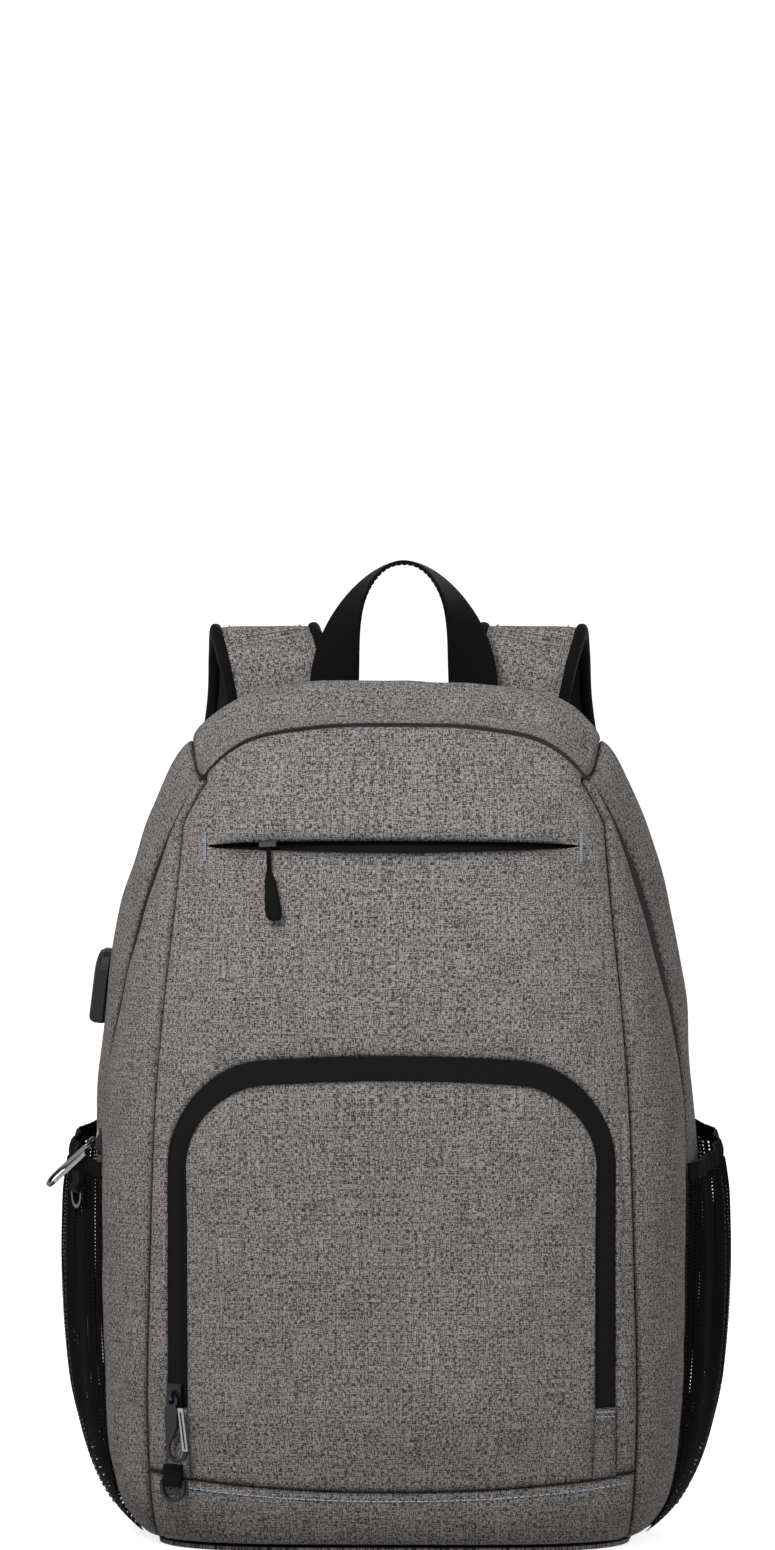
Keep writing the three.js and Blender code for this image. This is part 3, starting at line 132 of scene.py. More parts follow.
def lookup(rows, at):
    """Cubic through the rows that never overshoots: an inner slope is the harmonic mean of its two rises."""
    xs, ys = np.array(rows, float).T
    rise = np.diff(ys) / np.diff(xs)
    product = rise[:-1] * rise[1:]
    both = np.where(product > 0, rise[:-1] + rise[1:], 1)
    slope = np.concatenate([rise[:1], np.where(product > 0, 2 * product / both, 0), rise[-1:]])
    i = np.clip(np.searchsorted(xs, at) - 1, 0, len(xs) - 2)
    span = xs[i + 1] - xs[i]
    q = np.clip((at - xs[i]) / span, 0, 1)
    ends = ys[i] * (1 + 2 * q) * (1 - q) ** 2 + ys[i + 1] * q * q * (3 - 2 * q)
    return ends + slope[i] * span * q * (1 - q) ** 2 - slope[i + 1] * span * q * q * (1 - q)


def spline(points, t):
    """Centripetal Catmull-Rom through the points: each knot gap is the root of the distance."""
    p = np.asarray(points, float)
    p = np.vstack([2 * p[0] - p[1], p, 2 * p[-1] - p[-2]])
    gap = np.sqrt(np.linalg.norm(np.diff(p, axis=0), axis=1))[:, None]
    spot = np.clip(np.asarray(t, float), 0, 1) * (len(points) - 1)
    i = np.minimum(spot.astype(int), len(points) - 2)
    w = (spot - i)[:, None]
    a, b, c, d = (p[i + k] for k in range(4))
    g0, g1, g2 = (gap[i + k] for k in range(3))
    m1 = ((b - a) / g0 - (c - a) / (g0 + g1) + (c - b) / g1) * g1
    m2 = ((c - b) / g1 - (d - b) / (g1 + g2) + (d - c) / g2) * g1
    return b + m1 * w + (3 * (c - b) - 2 * m1 - m2) * w ** 2 + (2 * (b - c) + m1 + m2) * w ** 3


RIGHT_HALF = np.array(OUTLINE)
PLACES = np.linspace(0, 2, 5601)
RIM = spline(np.vstack([RIGHT_HALF, RIGHT_HALF[:-1][::-1] * [-1, 1]]), PLACES / 2)
HALF = len(PLACES) // 2 + 1


def rim(at):
    """Outline shares (across, up) at loop places, 0 the right base corner, 1 the top, 2 the left corner."""
    return np.interp(at, PLACES, RIM[:, 0]), np.interp(at, PLACES, RIM[:, 1])


def station(depth):
    """Height and half width of the outline at a depth from the back seam."""
    share = (np.asarray(depth, float) - BACK_SEAM) / (ZIP_FRONT - BACK_SEAM)
    return BAG_HEIGHT * lookup(STATION_HEIGHT, share), HALF_WIDTH * lookup(STATION_WIDTH, share)


FRONT_TOP, FRONT_WIDE = (float(v) for v in station(ZIP_FRONT))


def loop_at(z, depth):
    """Loop place on the right side at a height."""
    return np.interp(z / station(depth)[0], RIM[:HALF, 1], PLACES[:HALF])


def pinch(up, depth):
    """How much narrower the shoulders are towards the zip: a smooth step up, squared in depth."""
    share = (np.asarray(depth, float) - BACK_SEAM) / (ZIP_FRONT - BACK_SEAM)
    return 1 - SHOULDER_PINCH * smooth(up, PINCH_LOW, PINCH_HIGH) * np.clip(share, 0, 1) ** 2


def front_half(z):
    """Half width of the front at a height."""
    across, up = rim(loop_at(z, ZIP_FRONT))
    return FRONT_WIDE * across * pinch(up, ZIP_FRONT)


def front_depth(x, z):
    """Depth of the front: the middle's swell, falling off across as a superellipse."""
    crown = FRONT_BULGE * lookup(FRONT, z / FRONT_TOP)
    share = np.minimum(np.abs(x) / np.maximum(front_half(z), 1), 1)
    return ZIP_FRONT + crown * np.sqrt(1 - share ** SQUARENESS)


ORIGIN = (BACK_SEAM + float(front_depth(np.array(0.0), np.array(0.0)))) / 2


def place(x, depth, z):
    """Point of the frame from across, depth and height."""
    x, depth, z = np.broadcast_arrays(np.asarray(x, float), depth, z)
    return np.stack([x, ORIGIN - depth, z], axis=-1)


def loop_point(at, depth):
    """Point of the gussets at a loop place and a depth."""
    across, up = rim(at)
    height, width = station(depth)
    return place(width * across * pinch(up, depth), depth, height * up)


def outward(p):
    """Unit direction away from a box-shaped core in the bag."""
    x = np.clip(p[..., 0], -0.55 * HALF_WIDTH, 0.55 * HALF_WIDTH)
    d = np.clip(ORIGIN - p[..., 1], 0.48 * ZIP_FRONT, ZIP_FRONT + 0.07 * FRONT_BULGE)
    z = np.clip(p[..., 2], 0.135 * BAG_HEIGHT, 0.86 * BAG_HEIGHT)
    return unit_length(p - place(x, d, z))


def push(p, distance):
    """Points moved outwards by a distance."""
    return p + outward(p) * np.asarray(distance)[..., None]


def front_point(x, z, lift=0):
    """Point of the front surface, pushed out by lift."""
    return push(place(x, front_depth(x, z), z), np.broadcast_to(lift, np.shape(x)))


def seam_across(z):
    """Where the side seam of the front lies at a height."""
    return np.minimum(FRONT_WIDE * lookup(SEAMS, z / FRONT_TOP), front_half(z) - SEAM_LAND)


def base_seam(x):
    """Height of the base seam: a shallow parabola rising to the sides."""
    return BASE_SEAM + BASE_RISE * (x / BASE_HALF) ** 2


EDGE_SEAM = float(base_seam(seam_across(np.array(BASE_SEAM + BASE_RISE))))


def ripple(p, size, seed, count=9):
    """Slow wrinkles: a sum of sine waves in random directions, waves size to three times size long."""
    rng = np.random.default_rng(seed)
    total = np.zeros(p.shape[:-1])
    for _ in range(count):
        wave = rng.normal(size=3)
        wave *= 2 * math.pi / (np.linalg.norm(wave) * size * rng.uniform(1, 3))
        total += np.sin(p @ wave + rng.uniform(0, 2 * math.pi))
    return total / math.sqrt(count)


def arcs(p, axis):
    """Length along a grid's lines from their start, and to their nearer end."""
    leg = np.linalg.norm(np.diff(p, axis=axis), axis=-1)
    zero = np.zeros_like(np.take(leg, [0], axis=axis))
    run = np.concatenate([zero, np.cumsum(leg, axis=axis)], axis=axis)
    return run, np.minimum(run, np.take(run, [-1], axis=axis) - run)


def edge_distance(p):
    """Distance from each grid point to the panel's nearest edge."""
    return np.minimum(arcs(p, 0)[1], arcs(p, 1)[1])


def normals(p):
    """Unit normals of a grid from its two gradients, turned outwards."""
    n = unit_length(np.cross(np.gradient(p, axis=0), np.gradient(p, axis=1)))
    flip = np.sign(np.sum(n * outward(p), axis=-1, keepdims=True))
    return n * np.where(flip == 0, 1, flip)


# Meshes

def linked(name, data):
    """Object made from its data and put in the scene."""
    made = bpy.data.objects.new(name, data)
    bpy.context.scene.collection.objects.link(made)
    return made


def add_mesh(name, points, quads, uv, material, cad=(), is_smooth=True, crease=None):
    """One mesh object from points, quads and a UV pair for each point, riding on the bag. The crease, 1 in
    a seam and 0 on open cloth, is painted shade: it darkens the weave where shade falls in the seams."""
    mesh = bpy.data.meshes.new(name)
    mesh.from_pydata((points / 1000).tolist(), [], quads.tolist())
    # The painted seam shade is stored on the points for the weave to read
    if crease is not None:
        shade = mesh.attributes.new("crease", "FLOAT", "POINT")
        shade.data.foreach_set("value", crease.astype(np.float32))
    layer = mesh.uv_layers.new(name="cloth")
    corner = np.empty(len(mesh.loops), int)
    mesh.loops.foreach_get("vertex_index", corner)
    layer.data.foreach_set("uv", (uv[corner] / 1000).astype(np.float32).ravel())
    mesh.polygons.foreach_set("use_smooth", [is_smooth] * len(mesh.polygons))
    mesh.update()
    piece = linked(name, mesh)
    mesh.materials.append(MATERIALS[material])
    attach(piece, "bag")
    if cad:
        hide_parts(*cad)
    return piece


def grid_quads(nu, nv, start=0, is_ring=False):
    """Quads over an nu by nv grid of points; a ring also joins its last column to the first."""
    i, j = np.meshgrid(np.arange(nu if is_ring else nu - 1), np.arange(nv - 1), indexing="ij")
    k = (i + 1) % nu
    return start + np.stack([i * nv + j, k * nv + j, k * nv + j + 1, i * nv + j + 1], -1).reshape(-1, 4)


def shell(name, outer, wall, uv, material, cad, crease=None):
    """Cloth sheet: the outer grid, the same grid moved in by the wall, and quads round the rim."""
    nu, nv = outer.shape[:2]
    count = nu * nv
    inner = push(outer, np.full((nu, nv), -float(wall)))
    k = np.arange(count).reshape(nu, nv)
    ring = np.concatenate([k[:-1, 0], k[-1, :-1], k[:0:-1, -1], k[0, :0:-1]])
    after = np.roll(ring, -1)
    rim_quads = np.stack([after, ring, ring + count, after + count], -1)
    front = grid_quads(nu, nv)
    quads = np.vstack([front, front[:, ::-1] + count, rim_quads])
    points = np.vstack([outer.reshape(-1, 3), inner.reshape(-1, 3)])
    flat = uv.reshape(-1, 2)
    a, b = nu // 2, nv // 2
    facing = np.cross(outer[a + 1, b] - outer[a, b], outer[a, b + 1] - outer[a, b]) if nv > 2 else None
    if facing is not None and facing @ outward(outer[a, b]) < 0:
        quads = quads[:, ::-1]
    # The painted seam shade, the same on both sheets
    both = None if crease is None else np.concatenate([crease.ravel(), crease.ravel()])
    return add_mesh(name, points, quads, np.vstack([flat, flat]), material, cad, crease=both)


def sewn(p, distance, seed, wrinkle, roll, stretch):
    """Grid of a sewn panel: wrinkles fade in over 30 mm from the seams, fine puckers lie near them, and the
    edges roll in, falling off exponentially with the distance."""
    beside_seam = smooth(distance, 2, 14) * (1 - smooth(distance, 20, 60))
    lift = WRINKLE * wrinkle * ripple(p, stretch, seed) * smooth(distance, 0, 30)
    lift += PUCKER * wrinkle * ripple(p, PUCKER_WAVE, seed + 50) * beside_seam
    lift -= ROLL * roll * np.exp(-distance / ROLL_REACH)
    return p + normals(p) * lift[..., None]


def panel(name, p, wall, uv, seed, wrinkle=0.9, roll=1.5, stretch=55):
    """Sewn panel of melange cloth that stands for the CAD node of the same name."""
    distance = edge_distance(p)
    # Painted shade in the seams: 1 at the panel's edges, fading inwards, darkens the weave
    crease = np.exp(-distance / SHADE_REACH)
    shell(name, sewn(p, distance, seed, wrinkle, roll, stretch), wall, uv, "melange", (name,), crease)


def front_uv(p):
    """Weave coordinates of the front: across plus most of the depth lost there, and height."""
    x, depth = p[..., 0], ORIGIN - p[..., 1]
    lost = front_depth(np.zeros_like(x), p[..., 2]) - depth
    return np.stack([x + np.sign(x) * 0.8 * lost, p[..., 2]], -1)


def loop_uv(p):
    """Weave coordinates of a gusset: depth, and length round the loop."""
    return np.stack([ORIGIN - p[..., 1], arcs(p, 0)[0]], -1)


def stitches(name, path, normal, material="thread", pitch=3.4, length=2.4, half=0.32):
    """A row of stitches: six-sided spindles laid along a path, pitch apart, length long."""
    run = run_along(path)
    at = np.arange(pitch / 2, run[-1] - pitch / 2, pitch)

    def spot(s, a):
        return np.stack([np.interp(s, run, a[:, k]) for k in range(3)], -1)

    along = unit_length(spot(at + 0.5, path) - spot(at - 0.5, path))
    up = spot(at, normal)
    side = unit_length(np.cross(along, up))
    shares = np.array([(-0.5, 0.35), (-0.3, 1), (0.3, 1), (0.5, 0.35)])
    sides, rows = 6, len(shares)
    angle = np.arange(sides) * 2 * math.pi / sides
    ring = np.cos(angle)[:, None, None] * side[None] + np.sin(angle)[:, None, None] * up[None]
    points = spot(at, path) + along * (length * shares[:, 0])[:, None, None]
    points = points[:, None] + ring[None] * (half * shares[:, 1])[:, None, None, None]
    points = points.transpose(2, 1, 0, 3).reshape(-1, 3)
    one = grid_quads(sides, rows, is_ring=True)
    quads = (one[None] + sides * rows * np.arange(len(at))[:, None, None]).reshape(-1, 4)
    add_mesh(name, points, quads, np.zeros((len(points), 2)), material)


def seam_row(name, p, lift=0.45, **more):
    """A stitch row on a curve of the bag's skin."""
    stitches(name, push(p, np.full(len(p), lift)), outward(p), **more)


# Materials

def principled(name, colour, rough, metal=0.0):
    """A plain surface, matter where it is rougher; returns its node tree and shader."""
    material = bpy.data.materials.new(name)
    material.use_nodes = True
    shader = material.node_tree.nodes["Principled BSDF"]
    shader.inputs["Base Color"].default_value = (*colour, 1)
    shader.inputs["Roughness"].default_value = rough
    shader.inputs["Metallic"].default_value = metal
    shader.inputs["Specular IOR Level"].default_value = 0.5 if metal else 0.2 if rough < 0.7 else 0.04
    MATERIALS[name] = material
    return material.node_tree, shader


def node(tree, kind, links=(), **values):
    """A shader node with its properties and linked sockets set."""
    made = tree.nodes.new(kind)
    for key, value in values.items():
        setattr(made, key, value)
    for socket, source in links:
        if isinstance(source, (int, float, tuple)):
            made.inputs[socket].default_value = source
        else:
            tree.links.new(source, made.inputs[socket])
    return made


def maths(tree, operation, *values):
    """Output of a math node with its inputs set or linked in order."""
    return node(tree, "ShaderNodeMath", enumerate(values), operation=operation).outputs[0]


def spread(tree, value, low, high):
    """A value brought from low and high to 0 and 1."""
    links = [(0, value), (1, low), (2, high), (3, 0.0), (4, 1.0)]
    return node(tree, "ShaderNodeMapRange", links).outputs[0]


def scaled(tree, sizes):
    """The cloth UV map, in metres, stretched to so many waves a metre each way."""
    uv = node(tree, "ShaderNodeUVMap", uv_map="cloth")
    made = node(tree, "ShaderNodeMapping", [("Vector", uv.outputs["UV"]), ("Scale", (*sizes, 1.0))])
    return made.outputs[0]


def threads(tree, sizes, detail):
    """Noise drawn out along one thread direction."""
    links = [("Vector", scaled(tree, sizes)), ("Scale", 1.0), ("Detail", detail)]
    return node(tree, "ShaderNodeTexNoise", links).outputs[0]


def lattice(tree, cells, stretch, scatter):
    """Distance to the nearest edge in a lattice of cells, so many a metre."""
    sizes = (float(cells), stretch * cells)
    links = [("Vector", scaled(tree, sizes)), ("Scale", 1.0), ("Randomness", scatter)]
    return node(tree, "ShaderNodeTexVoronoi", links, feature="DISTANCE_TO_EDGE").outputs[0]


def add_bump(tree, shader, height, strength, distance):
    """Small relief on a shader."""
    made = node(tree, "ShaderNodeBump", [("Height", height), ("Strength", strength), ("Distance", distance)])
    tree.links.new(made.outputs[0], shader.inputs["Normal"])


def woven(name, dark, light):
    """Melange cloth: light and dark flecks along both threads, slower streaks, and painted shade darkening
    the seams and creases.
    """
    tree, shader = principled(name, light, 0.95)
    fine = maths(tree, "ADD", *[threads(tree, sizes, 3.0) for sizes in FLECKS])
    slow = maths(tree, "ADD", *[threads(tree, sizes, 2.0) for sizes in STREAKS])
    total = maths(tree, "MULTIPLY_ADD", slow, STREAK_SHARE, fine)
    ramp = spread(tree, total, NOISE_DARK, NOISE_LIGHT)
    colour = node(tree, "ShaderNodeMix", data_type="RGBA")
    colour.inputs[6].default_value = (*dark, 1)
    colour.inputs[7].default_value = (*light, 1)
    tree.links.new(ramp, colour.inputs[0])
    # Painted shade: the crease attribute blends the weave towards near black in the seams and the slit's lips
    crease = node(tree, "ShaderNodeAttribute", attribute_name="crease")
    share = maths(tree, "MULTIPLY", crease.outputs["Fac"], CREASE_SHADE)
    shaded = node(tree, "ShaderNodeMix", [(0, share)], data_type="RGBA")
    # Colour of the painted seam shade
    shaded.inputs[7].default_value = (0.004, 0.004, 0.004, 1)
    tree.links.new(colour.outputs[2], shaded.inputs[6])
    tree.links.new(shaded.outputs[2], shader.inputs["Base Color"])
    add_bump(tree, shader, fine, 0.35, 0.0006)


def ribbed(name, colour, waves, strength, way):
    """Black tape or webbing: even ribs across or along, waves of them a metre."""
    tree, shader = principled(name, colour, 0.8)
    links = [("Vector", scaled(tree, (float(waves), float(waves)))), ("Scale", 1.0), ("Distortion", 0.0)]
    wave = node(tree, "ShaderNodeTexWave", links, bands_direction=way)
    add_bump(tree, shader, wave.outputs[0], strength, 0.0005)


def netting(name, colour, cells, hole):
    """Open net: round holes on a square lattice where the distance to the cell's edge is over a size."""
    tree, shader = principled(name, colour, 0.95)
    mask = maths(tree, "GREATER_THAN", lattice(tree, cells, 1.25, 0.0), hole)
    clear = node(tree, "ShaderNodeBsdfTransparent")
    mixed = node(tree, "ShaderNodeMixShader", [(0, mask), (1, shader.outputs[0]), (2, clear.outputs[0])])
    tree.links.new(mixed.outputs[0], tree.nodes["Material Output"].inputs[0])


def pitted(name, colour, cells):
    """Spacer mesh: a lattice of small pits pressed into the cloth."""
    tree, shader = principled(name, colour, 0.9)
    add_bump(tree, shader, lattice(tree, cells, 1.3, 0.15), 0.8, 0.001)


def zip_tape(name, width):
    """Reversed coil zip: fine ribs, and a groove down the middle of the tape."""
    tree, shader = principled(name, (0.008, 0.008, 0.0085), 0.75)
    uv = node(tree, "ShaderNodeUVMap", uv_map="cloth")
    apart = node(tree, "ShaderNodeSeparateXYZ", [(0, uv.outputs[0])])
    from_middle = maths(tree, "ABSOLUTE", maths(tree, "ADD", apart.outputs[1], -width / 2000))
    groove = spread(tree, from_middle, 0.0003, 0.0012)
    teeth = maths(tree, "SINE", maths(tree, "MULTIPLY", apart.outputs[0], TEETH))
    add_bump(tree, shader, maths(tree, "MULTIPLY_ADD", teeth, 0.3, groove), 0.7, 0.0009)


MATERIALS = {}
PLAIN = {  # colour, roughness, metal
    "thread": ((0.3, 0.3, 0.31), 0.9, 0.0),
    "pale_thread": ((0.33, 0.4, 0.48), 0.9, 0.0),
    "dark_thread": ((0.05, 0.05, 0.055), 0.8, 0.0),
    "metal": ((0.012, 0.012, 0.014), 0.32, 0.7),
    "bright_metal": ((0.2, 0.205, 0.215), 0.3, 1.0),
    "plastic": ((0.007, 0.007, 0.008), 0.5, 0.0),
    "rubber": ((0.004, 0.004, 0.0045), 0.72, 0.0),
    "paper": ((0.93, 0.93, 0.93), 0.9, 0.0),
}
woven("melange", (0.035, 0.032, 0.031), (0.3, 0.278, 0.266))
ribbed("webbing", (0.005, 0.005, 0.0055), 620, 0.6, "Y")
ribbed("binding", (0.005, 0.005, 0.0055), 900, 0.4, "X")
netting("net", (0.004, 0.004, 0.0045), 400, 0.3)
pitted("spacer", (0.016, 0.016, 0.017), 330)
zip_tape("zip", ZIP_TAPE)
zip_tape("arch_zip", ARCH_TAPE)
for name, (colour, rough, metal) in PLAIN.items():
    principled(name, colour, rough, metal)


# Body

def side_gusset(side, word):
    """Side wall: loop places by depths, narrower above the zip's lower end, swelling as a half sine."""
    end = float(loop_at(ZIP_END, ZIP_REAR))
    foot = float(loop_at(WALL_FOOT, BACK_SEAM))
    top = float(loop_at(SHOULDER_SEAM, ZIP_REAR)) - FINE_GAP
    step = 4 * FINE_GAP
    at = np.unique(np.concatenate([np.linspace(foot, end - step, 110), np.linspace(end + step, top, 110)]))
    at, share = np.meshgrid(at, unit(60), indexing="ij")
    edge = np.where(at < end, ZIP_FRONT, ZIP_REAR + LAP * smooth(at, end + 0.6 * (top - end), top))
    p = loop_point(at, BACK_SEAM + share * (edge - SEAM_GAP / 2 - BACK_SEAM))
    p = push(p, SIDE_PUFF * np.sin(math.pi * share))
    p[..., 0] *= side
    panel(f"gusset_{word}", p, CLOTH, loop_uv(p), 11 + side, wrinkle=1.0)
    for k, inset in enumerate((3.2, 8.5)):
        row = loop_point(np.full(40, top), np.linspace(BACK_SEAM + 2, ZIP_REAR - 2, 40))
        row[:, 0] *= side
        row[:, 2] -= inset
        row = push(row, SIDE_PUFF * np.sin(math.pi * unit(40)))
        seam_row(f"shoulder_stitch_{word}_{k}", row, lift=0.3)


def top_gusset():
    """Top wall between the shoulder seams, sinking a little in front of the handle."""
    start = float(loop_at(SHOULDER_SEAM, ZIP_REAR)) + FINE_GAP
    at, share = np.meshgrid(np.linspace(start, 2 - start, 260), unit(56), indexing="ij")
    beside = smooth(np.abs(at - 1), 0.3 * (1 - start), 0.8 * (1 - start))
    edge = ZIP_REAR + LAP * (0.35 + 0.65 * beside)
    p = loop_point(at, BACK_SEAM + share * (edge - SEAM_GAP / 2 - BACK_SEAM))
    p = push(p, SIDE_PUFF * np.sin(math.pi * share))
    p[..., 2] -= 2.2 * np.exp(-((p[..., 0] + 6) / 26) ** 2) * smooth(share, 0.3, 0.9)
    panel("gusset_top", p, CLOTH, loop_uv(p)[..., ::-1], 5, wrinkle=1.1)


def main_zip():
    """Zip tape round the bag between the gussets and the front."""
    end = float(loop_at(ZIP_END, ZIP_REAR)) + 0.008
    at, share = np.meshgrid(np.linspace(end, 2 - end, 420), unit(14), indexing="ij")
    p = loop_point(at, ZIP_REAR + SEAM_GAP / 2 + share * (ZIP_TAPE - SEAM_GAP))
    lift = -0.5 * np.cos(2 * math.pi * share) - TAPE_SUNK
    uv = np.stack([arcs(p, 0)[0], share * ZIP_TAPE], -1)
    shell("main_zip", push(p, lift), TAPE_WALL, uv, "zip", ("main_zip",))


def front_side(side, word):
    """Side of the front between its seam and the zip, swelling as a half sine."""
    z = np.concatenate([np.linspace(WALL_FOOT, EDGE_SEAM, 26), np.linspace(EDGE_SEAM, SEAM_TOP, 200)[1:]])
    z, share = np.meshgrid(z, unit(52), indexing="ij")
    start = seam_across(z) + SEAM_GAP / 2
    x = side * (start + (front_half(z) - start) * np.sin(share * math.pi / 2))
    swell = SIDE_PUFF * np.sin(math.pi * share) * smooth(z, 0, BAG_HEIGHT / 8)
    p = front_point(x, z, swell)
    panel(f"front_side_{word}", p, CLOTH, front_uv(p), 21 + side, wrinkle=1.0)


def lower_front():
    """Band under the base seam, across the whole front."""
    u, q = np.meshgrid(np.sin(np.linspace(-1, 1, 200) * math.pi / 2), unit(26), indexing="ij")
    top = base_seam(u * float(seam_across(np.array(EDGE_SEAM)))) - SEAM_GAP / 2
    z = WALL_FOOT + q * (top - WALL_FOOT)
    p = front_point(u * (seam_across(z) - SEAM_GAP / 2), z)
    panel("lower_front", p, CLOTH, front_uv(p), 31, wrinkle=0.7)
    x = np.linspace(-1, 1, 200) * (ARCH_HALF + 12)
    seam_row("base_stitch", front_point(x, base_seam(x) - 4.2), lift=0.2, material="pale_thread")


def base_plate():
    """Flat base cloth: rings shrinking from the rim to the middle."""
    depth = np.linspace(BACK_SEAM, ZIP_FRONT, 20)
    side = loop_point(loop_at(np.full(20, BASE_WALL), depth), depth)
    side = np.vstack([side[0] + [0, SEAM_GAP + PANEL_EDGE, 0], side])
    corner = float(front_half(np.array(BASE_WALL)))
    x = corner * np.cos(np.linspace(0, math.pi, 60)[1:-1])
    front = place(x, front_depth(x, np.full(58, BASE_WALL)), 0)
    edge = np.vstack([side, front, side[::-1] * [-1, 1, 1]])
    edge = np.vstack([edge, np.linspace(edge[-1], edge[0], 30)[1:-1]])
    centre = edge.mean(axis=0)
    rows = [(0.002, 0), (1, 0), (1, BASE_WALL), (0.002, BASE_WALL)]
    grid = np.stack([centre + (edge - centre) * share for share, _ in rows], axis=1)
    grid[..., 2] = [height for _, height in rows]
    points = grid.reshape(-1, 3)
    quads = grid_quads(len(edge), len(rows), is_ring=True)
    add_mesh("base_panel", points, quads, points[:, :2], "melange", ("base_panel",), is_smooth=False)


def back_panel():
    """Padded back: rings shrinking from the rim, thickness falling with the fourth power, with a middle
    channel and three cross channels pressed in as smooth troughs."""
    foot = float(loop_at(WALL_FOOT, BACK_SEAM))
    side = loop_point(np.linspace(foot, 2 - foot, 240), np.full(240, float(BACK_SEAM)))
    edge = np.vstack([side, np.linspace(side[-1], side[0], 60)[1:-1]])
    middle = place(0, BACK_SEAM, BAG_HEIGHT / 2)
    share = np.concatenate([unit(70) * 0.998 + 0.002, [1.0, 0.5]])
    p = middle + (edge[:, None] - middle) * share[None, :, None]
    x, z = p[..., 0], p[..., 2]
    pad = PANEL_EDGE + PANEL_PAD * (1 - share ** 4)[None, :] + 0 * x
    trough = np.exp(-(x / MIDDLE_HALF) ** 2)
    for height in CHANNELS:
        drop = z - height - 0.0009 * x ** 2
        channel = np.exp(-(drop / CHANNEL_HALF) ** 2) * (1 - smooth(np.abs(x), 95, 120))
        trough = np.maximum(trough, channel)
    pad -= CHANNEL_DEPTH * trough * (1 - share ** 8)[None, :] - 0.35 * ripple(p, 60, 8)
    pad[:, -2:] = 0
    p[..., 1] = ORIGIN - (BACK_SEAM - SEAM_GAP) + pad
    points = p.reshape(-1, 3)
    quads = grid_quads(len(edge), len(share), is_ring=True)
    piece = add_mesh("back_panel", points, quads, points[:, [0, 2]], "spacer", ("back_panel",))


def panel_back(share):
    """Depth of the back panel's outer face, without its channels, at a share of its reach."""
    return BACK_SEAM - SEAM_GAP - PANEL_EDGE - PANEL_PAD * (1 - share ** 4)


def past_bend(z):
    """How far up the arch's corners a height lies, 0 below them and 1 above."""
    return smooth(z, ARCH_SPRING - ARCH_RADIUS, ARCH_SPRING + ARCH_RADIUS)


def arch(part, offset, foot):
    """Arch route (x, z): part 0 to 1 upright, 1 to 2 a quarter turn, 2 to 3 across to the middle."""
    radius, centre = ARCH_RADIUS + offset, ARCH_HALF - ARCH_RADIUS
    turn = np.clip(part - 1, 0, 1) * math.pi / 2
    x = np.where(part > 2, centre * (3 - part), centre + radius * np.cos(turn))
    z = np.where(part < 1, foot + part * (ARCH_SPRING - foot), ARCH_SPRING + radius * np.sin(turn))
    rise = ARCH_CROWN * np.maximum(1 - (x / ARCH_HALF) ** 2, 0)
    return x, z + rise * past_bend(z)


def whole(parts):
    """The parts of the whole arch from right foot to left foot, with the side of each."""
    sides = np.concatenate([np.ones(len(parts)), -np.ones(len(parts) - 1)])
    return np.concatenate([parts, parts[-2::-1]]), sides


def pocket_lift(z):
    """How far the pocket stands proud at a height."""
    full = SIDE_LIFT + (ARCH_LIFT - SIDE_LIFT) * past_bend(z)
    return full * smooth(z, BASE_SEAM, BASE_SEAM + ARCH_RADIUS)


def pocket_zip():
    """Arched zip tape, falling from the pocket's lift on its inner edge to the bag."""
    part, side = whole(np.concatenate([unit(70), 1 + unit(50)[1:], 2 + unit(50)[1:]]))
    part, share = np.meshgrid(part, unit(14), indexing="ij")
    offset = (share - 0.5) * (ARCH_TAPE - SEAM_GAP)
    x, z = arch(part, offset, ARCH_FOOT)
    lift = pocket_lift(z) * (1 - share) - 0.4 * np.cos(2 * math.pi * share) - TAPE_SUNK
    p = front_point(side[:, None] * x, z, lift)
    uv = np.stack([arcs(p, 0)[0], share * ARCH_TAPE], -1)
    shell("pocket_zip", p, TAPE_WALL, uv, "arch_zip", ("pocket_zip",))


def zip_end(side, word):
    """Cloth patch over a lower end of the arched zip, with a stitch row across its top."""
    q, share = np.meshgrid(unit(40), unit(22), indexing="ij")
    x = ARCH_HALF + (share - 0.5) * (ARCH_TAPE - SEAM_GAP)
    foot = base_seam(x) + SEAM_GAP / 2
    z = foot + q * (ARCH_FOOT - SEAM_GAP - foot)
    p = front_point(side * x, z, pocket_lift(z) * (1 - share))
    panel(f"zip_end_{word}", p, CLOTH, front_uv(p), 41 + side, wrinkle=0.3, roll=0.8)
    for k, drop in enumerate((2.5, 5.0)):
        x = side * (ARCH_HALF + np.linspace(-5.5, 5.5, 12))
        z = np.full(12, ARCH_FOOT - drop)
        row = front_point(x, z, pocket_lift(z) / 2)
        seam_row(f"zip_end_stitch_{word}_{k}", row, lift=0.5, material="pale_thread", pitch=2.2, length=1.7)


def pocket_panel():
    """Front pocket: columns under the arch, swelling as a half sine from base seam to arch."""
    part, side = whole(np.concatenate([1 + unit(70), 2 + unit(90)[1:]]))
    part, share = np.meshgrid(part, unit(110), indexing="ij")
    x, top = arch(part, COVER - ARCH_TAPE / 2 - SEAM_GAP / 2, ARCH_FOOT)
    foot = base_seam(x) + SEAM_GAP / 2
    z = foot + share * (top - foot)
    swell = POCKET_PUFF * np.sin(math.pi * share) * np.cos(0.45 * math.pi * x / ARCH_HALF)
    p = front_point(side[:, None] * x, z, pocket_lift(z) + swell)
    panel("pocket_panel", p, CLOTH, front_uv(p), 51, wrinkle=0.8, roll=1.2, stretch=70)


